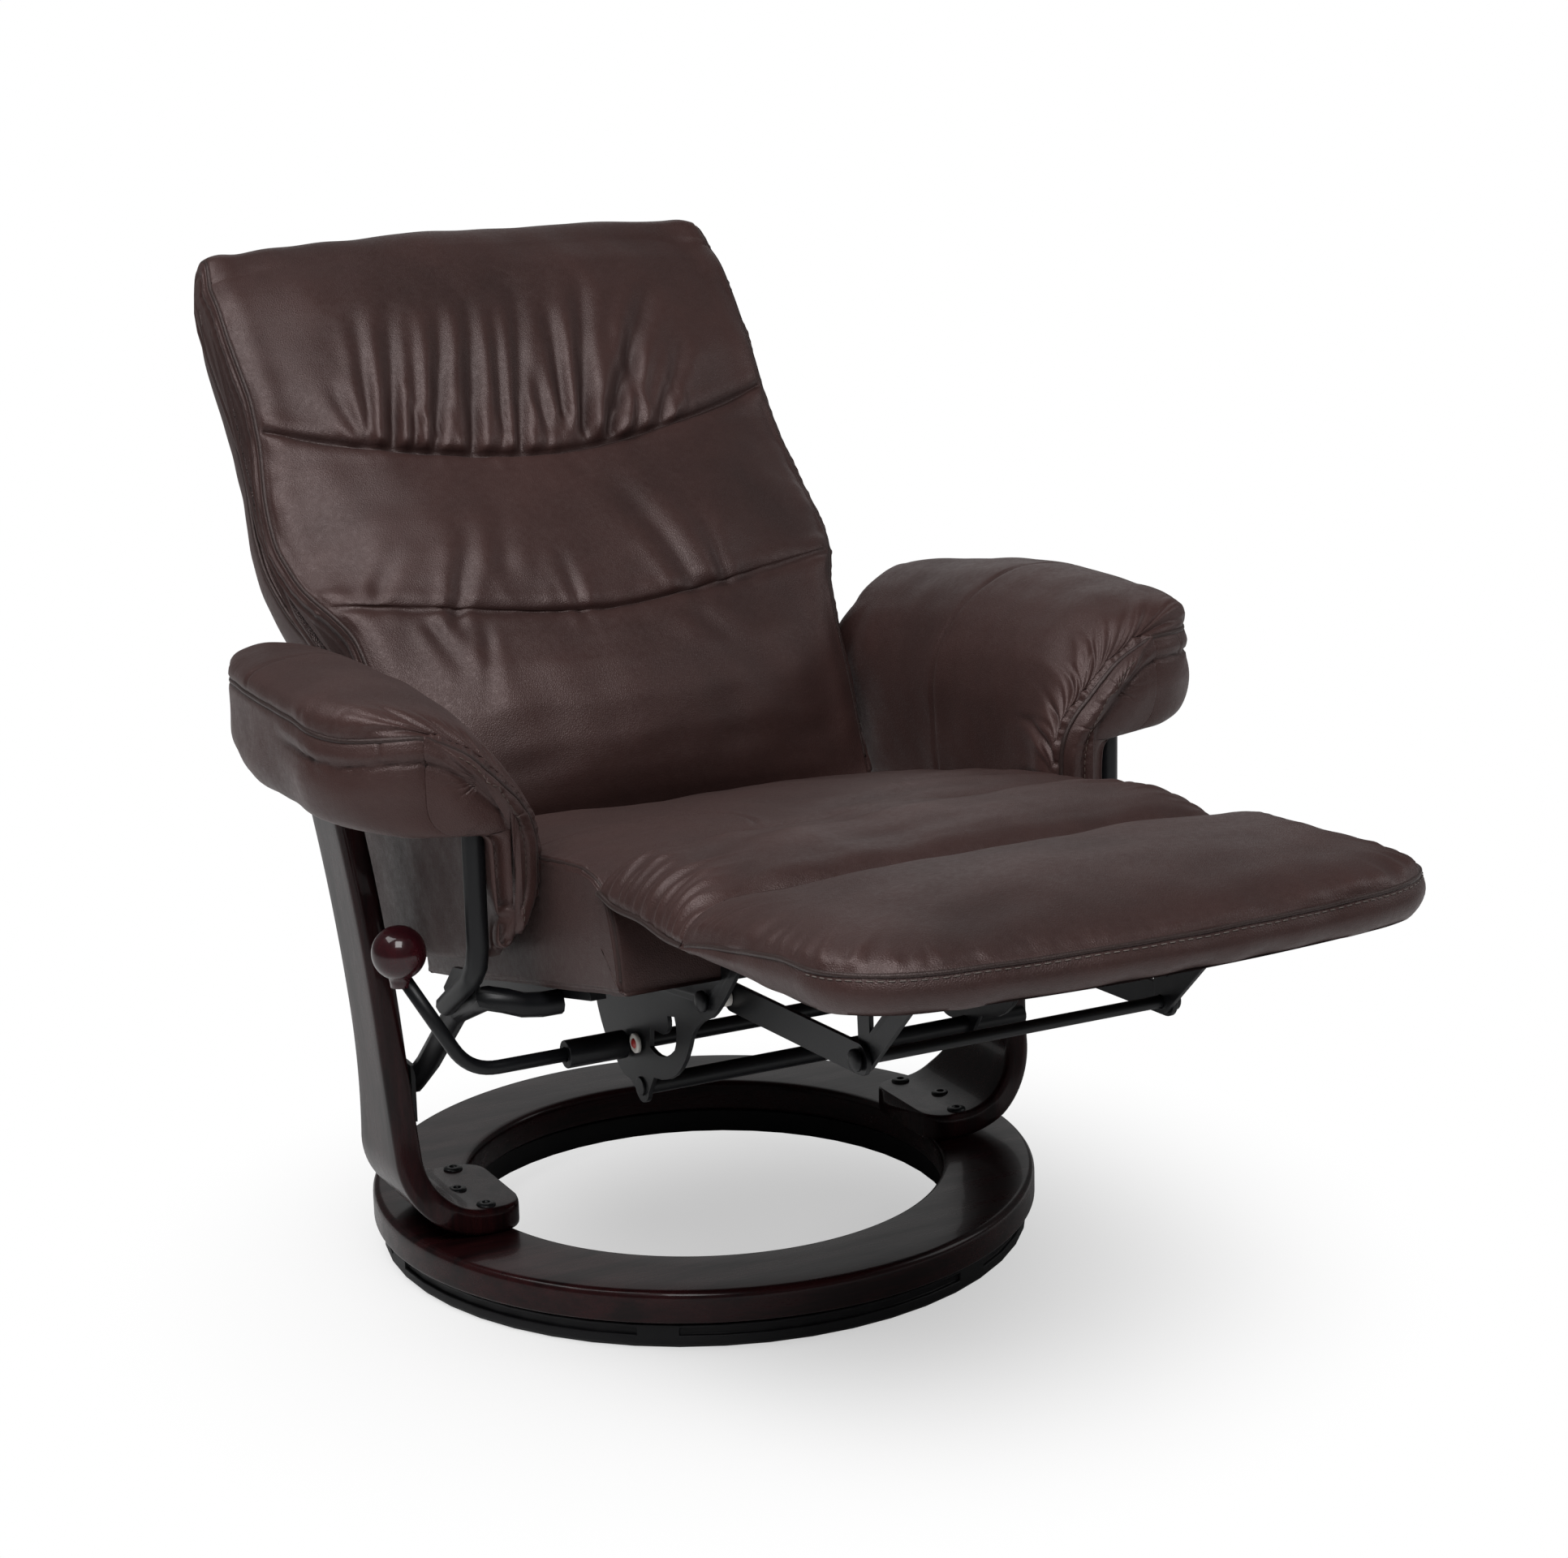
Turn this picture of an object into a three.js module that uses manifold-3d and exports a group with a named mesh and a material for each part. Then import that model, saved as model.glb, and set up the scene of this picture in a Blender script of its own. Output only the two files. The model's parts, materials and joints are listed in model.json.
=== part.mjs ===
// Swivel recliner armchair on a round wooden ring base, with a padded footrest on a parallelogram linkage.
// Millimetres. +Z is up, the sitter faces -Y, and X runs across the chair. The pose is fully reclined with
// the footrest out. The origin ends up at the bottom centre of the whole chair's box.

import * as THREE from 'three';
import { mergeVertices } from 'three/addons/utils/BufferGeometryUtils.js';
import Module from 'manifold-3d';

const wasm = await Module();
wasm.setup();

// ---------------------------------------------------------------- driving dimensions
const RING_SIDES = 48;           // facets round the rings and the bearing
const GAP = 0.3;                 // seating gap between parts that touch
const RUN = 0.35;                // radial running clearance of a pivot

const RING_R = 305;              // wooden base ring
const RING_BORE_R = 220;
const RING_H = 28.5;
const RING_EDGE_R = 7;
const SWIVEL_GAP = 4;            // daylight between the wooden ring and the floor ring
const FLOOR_RING_INSET = 8;      // the floor ring stands back under the wooden one
const FLOOR_RING_H = 22;
const RECESS_COUNT = 6;          // long shallow recesses round the floor ring
const RECESS_DEPTH = 3.5;
const RECESS_Z0 = 12;
const RECESS_LAND_DEG = 7;
const BEARING_R = 262;           // pitch radius of the ring bearing
const RACE_W = 20;
const RACE_T = 2;
const BALL_R = 3;
const BALL_COUNT = 10;
const GROOVE_CLEAR = 0.8;        // ball groove's radius over the ball's

const FOOT_X0 = 205;             // bent-ply uprights: foot tip, thickness and widths along Y
const PLY_T = 24;
const UPRIGHT_GAP = 30;         // room between an upright's outer face and the arm's padded side
const UPRIGHT_LEAN = 42;
const BEND_R = 80;
const FOOT_Y0 = -68;
const FOOT_Y1 = 56;
const UPRIGHT_TOP_Y0 = -40;
const UPRIGHT_TOP_Y1 = 27;
const FOOT_BOLT_R = 4;
const FOOT_HEAD_R = 7.5;
const FOOT_HEAD_T = 4;
const FOOT_BOLTS = [[231, 42], [247, -8], [238, -54]];

const SEAT_HALF = 243;           // half width of seat, flap and footrest
const SEAT_CLEAR = 7;            // side room between seat and arms
const ARM_HALF = 412;            // arms, outer face
const ARM_Y0 = -232;
const ARM_Y1 = 222;
const ARM_TOP_Z = 579;
const ARM_BOTTOM_Z = 492;
const ARM_BOARD_T = 8;
const SKIRT_T = 38;              // the padded inner side that hangs down from each arm
const SKIRT_TOP_Z = 470;
const SKIRT_FRONT_Z = 381;
const SKIRT_REAR_Z = 292;

const SEAT_TILT = THREE.MathUtils.degToRad(13.1);
const SEAT_REF_Y = -149;         // a point on the seat's underside line
const SEAT_REF_Z = 309;
const SEAT_T = 128;              // underside to top of the seat cushion
const RAIL_H = 42;               // seat frame of upholstered wooden rails
const RAIL_W = 26;
const RAIL_LIFT = 2;             // frame above the underside line
const RAIL_INSET = 2;            // upholstered frame inside the seat's width
const SEAT_S0 = -230;            // front and rear of the seat box along the slope
const SEAT_S1 = 205;
const NOSE_T = 36;               // padded lip in front of the seat box
const WEB_T = 3;

const HINGE_S = 217;             // back hinge in seat coordinates
const HINGE_W = 60;
const HINGE_PIN_R = 5;
const HINGE_PLATE_T = 4;
const RECLINE = THREE.MathUtils.degToRad(45);
const BACK_HALF = 262;           // back above the arms
const BACK_ARM_CLEAR = 18;       // side room between the back and the arms
const BACK_TOP_V = 700;
const BACK_STEP_V = 268;         // where the back widens, just above the arms
const BACK_SEAM_V = 474;         // seam between lumbar and head panels
const BACK_PAD_V0 = 50;
const BACK_FRAME_T = 20;
const BACK_TOP_INSET = 50;       // steel side rails end this far below the cushion's top
const CROSS_RAIL_H = 45;
const STEP_N = 93;               // cushion's depth in front of the pin line: at the lower seam,
const SEAM_N = 84;               // at the upper seam,
const HEAD_N = 102;              // and at the head
const SHELL_N = 76;              // outer back's depth behind the pin line, lower part
const SHELL_EDGE_N = 34;         // and at its top and bottom edges
const BACK_RAIL_W = 28;

const FOLD_Y = -432;             // footrest hinge line
const FOLD_Z = 418;              // lies this low so that the arms clear the flap
const FLAP_RISE = 16;
const FLAP_L = 84;
const FLAP_T = 36;
const PAD_L = 272;
const PAD_T = 36;
const PAD_BOW = 28;
const PAD_OVERHANG = 3;           // pad wider than the seat on each side
const PAD_TILT = THREE.MathUtils.degToRad(3.4);
const PAD_CORNER = 46;
const BOARD_T = 10;
const BOARD_INSET = 42;

const LINK_T = 4;                // flat steel of the footrest linkage
const LINK_W = 25;
const LINK_RISE = 13;            // far end of the main link relative to its near pivot
const LINK_REACH = 220;
const LINK_PIVOT_Y = -350;
const LINK_PIVOT_Z = 338;
const ROD_R = 5;
const LINK_INSET = 21.3;         // main links and footrest arms inside the side plates
const PLATE_INSET = 89;          // mechanism side plates inside the seat's side
const PLATE_T = 4;
const STUD_R = 4;
const ROLLER_R = 7.5;
const CROSS_TUBE_R = 8;          // low tube that ties the side plates
const CROSS_TUBE_S = -50;
const CROSS_TUBE_W = -97;
const CROSS_TUBE_PROUD = 4;      // low cross tube past the slide rail's inner face

const LEVER_S = -28.7;           // lever shaft in seat coordinates
const LEVER_W = -62;
const SHAFT_R = 7;
const SOCKET_R = 12;
const SOCKET_PROUD = 6;          // lever socket past the slide rail's inner face
const LEVER_ROD_R = 6;
const LEVER_BEND_INSET = 18;     // bend of the lever inside the upright's outer face
const KNOB_R = 22;
const KNOB_PROUD = 38;           // knob outside the upright's outer face
const KNOB_RISE = 112;

const TUBE_R = 10.5;               // steel tubes of the frame
const POST_R = 9.5;
const BRACKET_Z0 = 160;          // foot plate of each side bracket, on the upright's inner face
const BRACKET_H = 52;
const POST_CLEAR = 1.5;          // arm post outside the padded side
const POST_Y = -221;
const SLIDE_INSET = 35;          // fixed slide rails inside the seat's side
const SLIDE_W = 14;
const SLIDE_H = 9;
const SLIDE_S0 = -120;
const SLIDE_S1 = 190;

// ---------------------------------------------------------------- derived levels
const ringBottom = FLOOR_RING_H + SWIVEL_GAP;
const ringTop = ringBottom + RING_H;
const footBottom = ringTop + GAP;
const footTop = footBottom + PLY_T;
const armInner = SEAT_HALF + SEAT_CLEAR;
const boardBottom = ARM_BOTTOM_Z - ARM_BOARD_T;
const uprightTop = boardBottom - GAP;
const skirtOuter = armInner + SKIRT_T;
const uprightX = skirtOuter + UPRIGHT_GAP;
const postX = skirtOuter + POST_CLEAR + POST_R;
const slideX = SEAT_HALF - SLIDE_INSET;
const plateX = SEAT_HALF - PLATE_INSET;
const linkX = plateX - LINK_INSET;
const crossTubeX1 = slideX + CROSS_TUBE_PROUD;
const socketX0 = -slideX - SOCKET_PROUD;
const leverBendX = LEVER_BEND_INSET - uprightX;
const knobX = -uprightX - KNOB_PROUD;
const backLowHalf = armInner - BACK_ARM_CLEAR;

// ---------------------------------------------------------------- materials
const mat = (color, roughness, metalness = 0) => new THREE.MeshStandardMaterial({ color, roughness, metalness });
const LEATHER = mat(0x3c2c29, 0.45);
const WOOD = mat(0x2a0d0f, 0.22);
const RAW_WOOD = mat(0xb08d60, 0.7);
const BLACK_STEEL = mat(0x111214, 0.4, 0.6);
const BRIGHT_STEEL = mat(0xa9abae, 0.35, 0.9);
const BLACK_PLASTIC = mat(0x0d0d0e, 0.5);
const NYLON = mat(0xd8d6d0, 0.5);
const CLOTH = mat(0x121212, 0.9);

// ---------------------------------------------------------------- geometry helpers
// Merges shared vertices, drops collapsed triangles and turns the faces outwards.
function closed(geometry) {
  const raw = geometry.clone();
  raw.deleteAttribute('normal');
  raw.deleteAttribute('uv');
  const merged = mergeVertices(raw, 1e-4);
  const position = merged.attributes.position;
  const index = Array.from(merged.index.array);
  const kept = [];
  let volume = 0;
  const a = new THREE.Vector3();
  const b = new THREE.Vector3();
  const c = new THREE.Vector3();
  for (let i = 0; i < index.length; i += 3) {
    const [p, q, r] = index.slice(i, i + 3);
    if (p === q || q === r || r === p) continue;
    kept.push(p, q, r);
    a.fromBufferAttribute(position, p);
    b.fromBufferAttribute(position, q);
    c.fromBufferAttribute(position, r);
    volume += a.dot(b.cross(c));
  }
  if (volume < 0) kept.reverse();
  merged.setIndex(kept);
  return merged;
}

function toSolid(geometry) {
  const shape = closed(geometry);
  const triVerts = new Uint32Array(shape.index.array);
  const vertProperties = new Float32Array(shape.attributes.position.array);
  return new wasm.Manifold(new wasm.Mesh({ numProp: 3, vertProperties, triVerts }));
}

function fromSolid(solid) {
  const mesh = solid.getMesh();
  const geometry = new THREE.BufferGeometry();
  geometry.setAttribute('position', new THREE.BufferAttribute(new Float32Array(mesh.vertProperties), 3));
  geometry.setIndex(Array.from(mesh.triVerts));
  return geometry;
}

const cut = (geometry, ...tools) => fromSolid(tools.reduce((s, t) => s.subtract(toSolid(t)), toSolid(geometry)));
const join = (...pieces) => fromSolid(pieces.map(toSolid).reduce((s, t) => s.add(t)));
const common = (...pieces) => fromSolid(pieces.map(toSolid).reduce((s, t) => s.intersect(t)));

const AXES = {
  x: [[0, 1, 0], [0, 0, 1], [1, 0, 0]],     // outline in (y, z), extruded along +X
  y: [[1, 0, 0], [0, 0, 1], [0, -1, 0]],    // outline in (x, z), extruded along -Y
  z: [[1, 0, 0], [0, 1, 0], [0, 0, 1]],     // outline in (x, y), extruded along +Z
};

function outline(points) {
  return points instanceof THREE.Shape ? points : new THREE.Shape(points.map(([u, v]) => new THREE.Vector2(u, v)));
}

// Extrudes an outline along one axis between two levels, with round holes and an optional rounded edge.
function slab(axis, points, from, to, { holes = [], round = 0, segments = 6, steps = 2 } = {}) {
  const shape = outline(points);
  const against = !THREE.ShapeUtils.isClockWise(shape.getPoints());
  shape.holes = holes.map(([u, v, r]) => new THREE.Path().absarc(u, v, r, 0, Math.PI * 2, against));
  const geometry = new THREE.ExtrudeGeometry(shape, {
    depth: to - from - 2 * round,
    curveSegments: segments,
    bevelEnabled: round > 0,
    bevelThickness: round,
    bevelSize: round,
    bevelOffset: -round,
    bevelSegments: steps,
  });
  geometry.translate(0, 0, from + round);
  const basis = AXES[axis].map((v) => new THREE.Vector3(...v));
  geometry.applyMatrix4(new THREE.Matrix4().makeBasis(...basis));
  return geometry;
}

// The y axis of slab() runs backwards, so this takes its limits in plain Y order.
const slabY = (points, y0, y1, options) => slab('y', points, -y1, -y0, options);

const box = (x0, x1, y0, y1, z0, z1) => slab('z', [[x0, y0], [x1, y0], [x1, y1], [x0, y1]], z0, z1);

// A bar with round ends between two points of the (y, z) plane, across x0 to x1. A hole radius of 0 means no hole.
function linkBar(p, q, width, x0, x1, holeP, holeQ) {
  const [dy, dz] = [q[0] - p[0], q[1] - p[1]];
  const turn = Math.atan2(dz, dy);
  const shape = new THREE.Shape();
  shape.absarc(p[0], p[1], width / 2, turn + Math.PI / 2, turn + Math.PI * 1.5, false);
  shape.absarc(q[0], q[1], width / 2, turn - Math.PI / 2, turn + Math.PI / 2, false);
  const holes = [[...p, holeP], [...q, holeQ]].filter(([, , r]) => r > 0);
  return slab('x', shape, x0, x1, { holes });
}

// A round bar along X.
function barX(y, z, radius, x0, x1, sides = 20) {
  const bar = new THREE.CylinderGeometry(radius, radius, x1 - x0, sides);
  bar.rotateZ(Math.PI / 2);
  bar.translate((x0 + x1) / 2, y, z);
  return bar;
}

function barZ(x, y, radius, z0, z1, sides = 16) {
  const bar = new THREE.CylinderGeometry(radius, radius, z1 - z0, sides);
  bar.rotateX(Math.PI / 2);
  bar.translate(x, y, (z0 + z1) / 2);
  return bar;
}

// A ring or knob turned about Z from a profile of [radius, z] points.
function turned(profile, segments = 64) {
  const geometry = new THREE.LatheGeometry(profile.map(([r, z]) => new THREE.Vector2(r, z)), segments);
  geometry.rotateX(Math.PI / 2);
  return geometry;
}

// Straight runs joined by rounded bends.
function bentPath(corners, bend) {
  const path = new THREE.CurvePath();
  const points = corners.map((c) => new THREE.Vector3(...c));
  let start = points[0];
  for (let i = 1; i < points.length - 1; i += 1) {
    const before = points[i].clone().add(points[i - 1].clone().sub(points[i]).setLength(bend));
    const after = points[i].clone().add(points[i + 1].clone().sub(points[i]).setLength(bend));
    path.add(new THREE.LineCurve3(start, before));
    path.add(new THREE.QuadraticBezierCurve3(before, points[i], after));
    start = after;
  }
  path.add(new THREE.LineCurve3(start, points.at(-1)));
  return path;
}

function tube(corners, radius, bend, steps = 24, sides = 12) {
  const shape = new THREE.Shape();
  shape.absarc(0, 0, radius, 0, Math.PI * 2, false);
  return new THREE.ExtrudeGeometry(shape, {
    steps, curveSegments: sides, bevelEnabled: false, extrudePath: bentPath(corners, bend),
  });
}

function mirrored(geometry) {
  const copy = geometry.clone();
  copy.scale(-1, 1, 1);
  return copy;
}

// ---------------------------------------------------------------- the assembly
const chair = new THREE.Group();

function add(name, geometry, material, parent = chair) {
  const mesh = new THREE.Mesh(closed(geometry), material);
  mesh.name = name;
  parent.add(mesh);
  return mesh;
}

// Adds a piece built for the +X side and its mirror image. The sitter's left side is +X.
function addPair(name, geometry, material, parent = chair) {
  add(`left_${name}`, geometry, material, parent);
  add(`right_${name}`, mirrored(geometry), material, parent);
}

// ---- floor ring: stands on the floor and carries the swivel bearing
const floorR = RING_R - FLOOR_RING_INSET;
const floorBore = RING_BORE_R + FLOOR_RING_INSET;

function floorRing() {
  const ring = turned([
    [floorBore, 0], [floorR - 4, 0], [floorR, 4], [floorR, FLOOR_RING_H], [floorBore, FLOOR_RING_H], [floorBore, 0],
  ], RING_SIDES);
  const arc = (Math.PI * 2) / RECESS_COUNT - THREE.MathUtils.degToRad(RECESS_LAND_DEG);
  const tools = [];
  for (let i = 0; i < RECESS_COUNT; i += 1) {
    const start = (i * Math.PI * 2) / RECESS_COUNT;
    const shape = new THREE.Shape();
    shape.absarc(0, 0, floorR + 10, start, start + arc, false);
    shape.absarc(0, 0, floorR - RECESS_DEPTH, start + arc, start, true);
    tools.push(slab('z', shape, RECESS_Z0, FLOOR_RING_H - 3, { segments: 4 }));
  }
  return cut(ring, ...tools);
}

// ---- ring bearing: two washers with a ball groove each, and balls in a cage between them
const raceTop = FLOOR_RING_H + GAP + RACE_T;
const ballZ = raceTop + BALL_R - 0.6;

function race(z0, z1, grooveZ) {
  const [r0, r1] = [BEARING_R - RACE_W / 2, BEARING_R + RACE_W / 2];
  const washer = turned([[r0, z0], [r1, z0], [r1, z1], [r0, z1], [r0, z0]], RING_SIDES);
  const groove = new THREE.TorusGeometry(BEARING_R, BALL_R + GROOVE_CLEAR, 6, RING_SIDES);
  groove.translate(0, 0, grooveZ);
  return cut(washer, groove);
}

function ballCage() {
  const [r0, r1] = [BEARING_R - 6, BEARING_R + 6];
  const [z0, z1] = [ballZ - 0.8, ballZ + 0.8];
  const cage = turned([[r0, z0], [r1, z0], [r1, z1], [r0, z1], [r0, z0]], RING_SIDES);
  const balls = [];
  for (let i = 0; i < BALL_COUNT; i += 1) {
    const angle = ((i + 0.5) * Math.PI * 2) / BALL_COUNT;
    const ball = new THREE.SphereGeometry(BALL_R, 6, 4);
    ball.translate(BEARING_R * Math.cos(angle), BEARING_R * Math.sin(angle), ballZ);
    balls.push(ball);
  }
  return join(cage, ...balls);
}

add('floor_ring', floorRing(), BLACK_PLASTIC);
add('bearing_lower_race', race(FLOOR_RING_H + GAP, raceTop, ballZ), BRIGHT_STEEL);
add('bearing_ball_cage', ballCage(), BRIGHT_STEEL);
const upperRaceZ = ballZ + BALL_R - 0.6;
add('bearing_upper_race', race(upperRaceZ, upperRaceZ + RACE_T, ballZ), BRIGHT_STEEL);

// ---- wooden ring: rounded upper edges, a groove underneath for the bearing, screw holes for the feet
function woodRing() {
  const edge = (cx, cz, r, a0, a1) => Array.from({ length: 4 }, (_, i) => {
    const a = a0 + ((a1 - a0) * i) / 3;
    return [cx + r * Math.cos(a), cz + r * Math.sin(a)];
  });
  const e = RING_EDGE_R;
  const grooveTop = upperRaceZ + RACE_T + GAP;
  const [g0, g1] = [BEARING_R - RACE_W / 2 - 1, BEARING_R + RACE_W / 2 + 1];
  const profile = [
    [RING_BORE_R + 3, ringBottom], [g0, ringBottom], [g0, grooveTop], [g1, grooveTop], [g1, ringBottom],
    [RING_R - 3, ringBottom], [RING_R, ringBottom + 3],
    ...edge(RING_R - e, ringTop - e, e, 0, Math.PI / 2),
    ...edge(RING_BORE_R + e, ringTop - e, e, Math.PI / 2, Math.PI),
    [RING_BORE_R, ringBottom + 3], [RING_BORE_R + 3, ringBottom],
  ];
  const holes = FOOT_BOLTS.flatMap(([x, y]) => [x, -x].map(
    (side) => barZ(side, y, FOOT_BOLT_R + GAP, grooveTop + 3, ringTop + 5, 12),
  ));
  return cut(turned(profile, RING_SIDES), ...holes);
}
add('wood_ring', woodRing(), WOOD);

// ---- bent-ply uprights: a flat foot on the ring, a wide bend, and a leg that leans out and narrows upwards
function upright() {
  const straight = footBottom + BEND_R;
  const middle = (straight + uprightTop) / 2;
  const bulge = uprightX + UPRIGHT_LEAN * 0.18;
  const shape = new THREE.Shape();
  shape.moveTo(FOOT_X0, footBottom);
  shape.lineTo(uprightX - BEND_R, footBottom);
  shape.absarc(uprightX - BEND_R, straight, BEND_R, -Math.PI / 2, 0, false);
  shape.quadraticCurveTo(bulge, middle, uprightX + UPRIGHT_LEAN, uprightTop);
  shape.lineTo(uprightX + UPRIGHT_LEAN - PLY_T, uprightTop);
  shape.quadraticCurveTo(bulge - PLY_T, middle, uprightX - PLY_T, straight);
  shape.absarc(uprightX - BEND_R, straight, BEND_R - PLY_T, 0, -Math.PI / 2, true);
  shape.lineTo(FOOT_X0, footTop);
  const bent = slabY(shape, FOOT_Y0, FOOT_Y1, { segments: 6 });
  const side = new THREE.Shape();
  side.moveTo(FOOT_Y0, footBottom - 5);
  side.lineTo(FOOT_Y1, footBottom - 5);
  side.lineTo(FOOT_Y1, footTop);
  side.quadraticCurveTo(UPRIGHT_TOP_Y1, middle - 60, UPRIGHT_TOP_Y1, uprightTop + 5);
  side.lineTo(UPRIGHT_TOP_Y0, uprightTop + 5);
  side.quadraticCurveTo(UPRIGHT_TOP_Y0 - 6, middle - 60, FOOT_Y0, footTop);
  const taper = slab('x', side, FOOT_X0 - 5, ARM_HALF, { segments: 5 });
  const corner = 24;
  const plan = new THREE.Shape();
  plan.moveTo(ARM_HALF, FOOT_Y0 - 1);
  plan.lineTo(ARM_HALF, FOOT_Y1 + 1);
  plan.lineTo(FOOT_X0 + corner, FOOT_Y1 + 1);
  plan.absarc(FOOT_X0 + corner, FOOT_Y1 - corner, corner, Math.PI / 2, Math.PI, false);
  plan.absarc(FOOT_X0 + corner, FOOT_Y0 + corner, corner, Math.PI, Math.PI * 1.5, false);
  plan.lineTo(FOOT_X0 + corner, FOOT_Y0 - 1);
  const rounded = slab('z', plan, footBottom - 5, uprightTop + 5, { segments: 4 });
  const holes = FOOT_BOLTS.flatMap(([x, y]) => [
    barZ(x, y, FOOT_BOLT_R + GAP, footBottom - 5, footTop + 5, 12),
    barZ(x, y, FOOT_HEAD_R + GAP, footTop - FOOT_HEAD_T - GAP, footTop + 30, 12),
  ]);
  return cut(common(bent, taper, rounded), ...holes);
}

function footBolt([x, y]) {
  const seatZ = footTop - FOOT_HEAD_T;
  const shank = barZ(x, y, FOOT_BOLT_R, ringTop - 16, seatZ + 1, 12);
  return join(shank, barZ(x, y, FOOT_HEAD_R, seatZ, footTop, 12));
}
addPair('upright', upright(), WOOD);
FOOT_BOLTS.forEach((spot, i) => addPair(`foot_bolt_${i + 1}`, footBolt(spot), BLACK_STEEL));

// ---- arms: a board on top of each upright, the padded arm over it, and the padded side that hangs inside
function armBoard() {
  const [x0, x1] = [skirtOuter + 8, ARM_HALF - 30];
  const [y0, y1] = [ARM_Y0 + 6, ARM_Y1 - 40];
  return slab('z', [[x0, y0], [x1, y0], [x1, y1 - 110], [x1 - 40, y1], [x0, y1]], boardBottom, ARM_BOTTOM_Z);
}

function armPad() {
  const bottom = ARM_BOTTOM_Z + GAP;
  const section = new THREE.Shape();
  section.moveTo(armInner, SKIRT_TOP_Z + GAP);
  section.lineTo(skirtOuter, SKIRT_TOP_Z + GAP);
  section.lineTo(skirtOuter, bottom);
  section.lineTo(ARM_HALF - 8, bottom);
  section.lineTo(ARM_HALF, bottom + 12);
  section.lineTo(ARM_HALF, ARM_TOP_Z - 26);
  section.bezierCurveTo(ARM_HALF - 22, ARM_TOP_Z - 2, armInner + 95, ARM_TOP_Z + 8, armInner + 50, ARM_TOP_Z - 12);
  section.bezierCurveTo(armInner + 20, ARM_TOP_Z - 26, armInner, ARM_TOP_Z - 50, armInner, ARM_TOP_Z - 75);
  const front = slabY(section, ARM_Y0, ARM_Y1, { segments: 6 });
  const side = new THREE.Shape();
  side.moveTo(ARM_Y0, SKIRT_TOP_Z);
  side.lineTo(ARM_Y1, SKIRT_TOP_Z);
  side.lineTo(ARM_Y1, ARM_TOP_Z - 75);
  side.bezierCurveTo(ARM_Y1, ARM_TOP_Z - 40, ARM_Y1 - 60, ARM_TOP_Z - 32, ARM_Y1 - 190, ARM_TOP_Z - 5);
  side.lineTo(ARM_Y0 + 60, ARM_TOP_Z + 4);
  side.quadraticCurveTo(ARM_Y0 + 12, ARM_TOP_Z, ARM_Y0, ARM_TOP_Z - 24);
  const plan = new THREE.Shape();
  plan.moveTo(armInner - 1, ARM_Y0 - 1);
  plan.lineTo(ARM_HALF - 20, ARM_Y0 - 1);
  plan.quadraticCurveTo(ARM_HALF, ARM_Y0, ARM_HALF, ARM_Y0 + 26);
  plan.lineTo(ARM_HALF, 30);
  plan.bezierCurveTo(ARM_HALF, 120, ARM_HALF - 50, ARM_Y1 - 30, ARM_HALF - 92, ARM_Y1);
  plan.lineTo(armInner - 1, ARM_Y1);
  return common(
    front,
    slab('x', side, armInner - 2, ARM_HALF + 2, { segments: 7 }),
    slab('z', plan, SKIRT_TOP_Z - 2, ARM_TOP_Z + 10, { segments: 7 }),
  );
}

function armSkirt() {
  const side = new THREE.Shape();
  side.moveTo(ARM_Y0, SKIRT_TOP_Z);
  side.lineTo(ARM_Y0 - 3, SKIRT_FRONT_Z + 40);
  side.quadraticCurveTo(ARM_Y0 - 4, SKIRT_FRONT_Z, ARM_Y0 + 12, SKIRT_FRONT_Z - 6);
  side.lineTo(ARM_Y0 + 52, SKIRT_FRONT_Z - 29);
  side.lineTo(60, SKIRT_REAR_Z);
  side.lineTo(140, SKIRT_REAR_Z + 10);
  side.lineTo(ARM_Y1 - 22, SKIRT_TOP_Z);
  return slab('x', side, armInner, skirtOuter, { round: 6, segments: 5 });
}
addPair('arm_board', armBoard(), RAW_WOOD);
addPair('arm_pad', armPad(), LEATHER);
addPair('arm_side', armSkirt(), LEATHER);

// ---------------------------------------------------------------- seat coordinates
// s runs backwards along the seat's sloping underside and w stands square to it, from the seat reference point.
const seat = new THREE.Group();
seat.position.set(0, SEAT_REF_Y, SEAT_REF_Z);
seat.rotation.x = -SEAT_TILT;
chair.add(seat);

function toWorld(s, w) {
  const [c, n] = [Math.cos(SEAT_TILT), Math.sin(SEAT_TILT)];
  return [SEAT_REF_Y + s * c + w * n, SEAT_REF_Z - s * n + w * c];
}
function toSeat(y, z) {
  const [c, n] = [Math.cos(SEAT_TILT), Math.sin(SEAT_TILT)];
  const [dy, dz] = [y - SEAT_REF_Y, z - SEAT_REF_Z];
  return [dy * c - dz * n, dy * n + dz * c];
}

// ---- slide rails: fixed to the frame by a bent tube on each side and joined by a cross tube at the rear
const slideTop = -2 - GAP;
const slideBottom = slideTop - SLIDE_H;

function slideRail() {
  const [x0, x1] = [slideX, slideX + SLIDE_W];
  return box(x0, x1, SLIDE_S0, SLIDE_S1, slideBottom, slideTop);
}
addPair('slide_rail', slideRail(), BLACK_STEEL, seat);
add('rear_cross_tube', barX(SLIDE_S1 - 20, slideBottom - GAP - TUBE_R, TUBE_R, -slideX - 6, slideX + 6, 16),
  BLACK_STEEL, seat);

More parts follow.
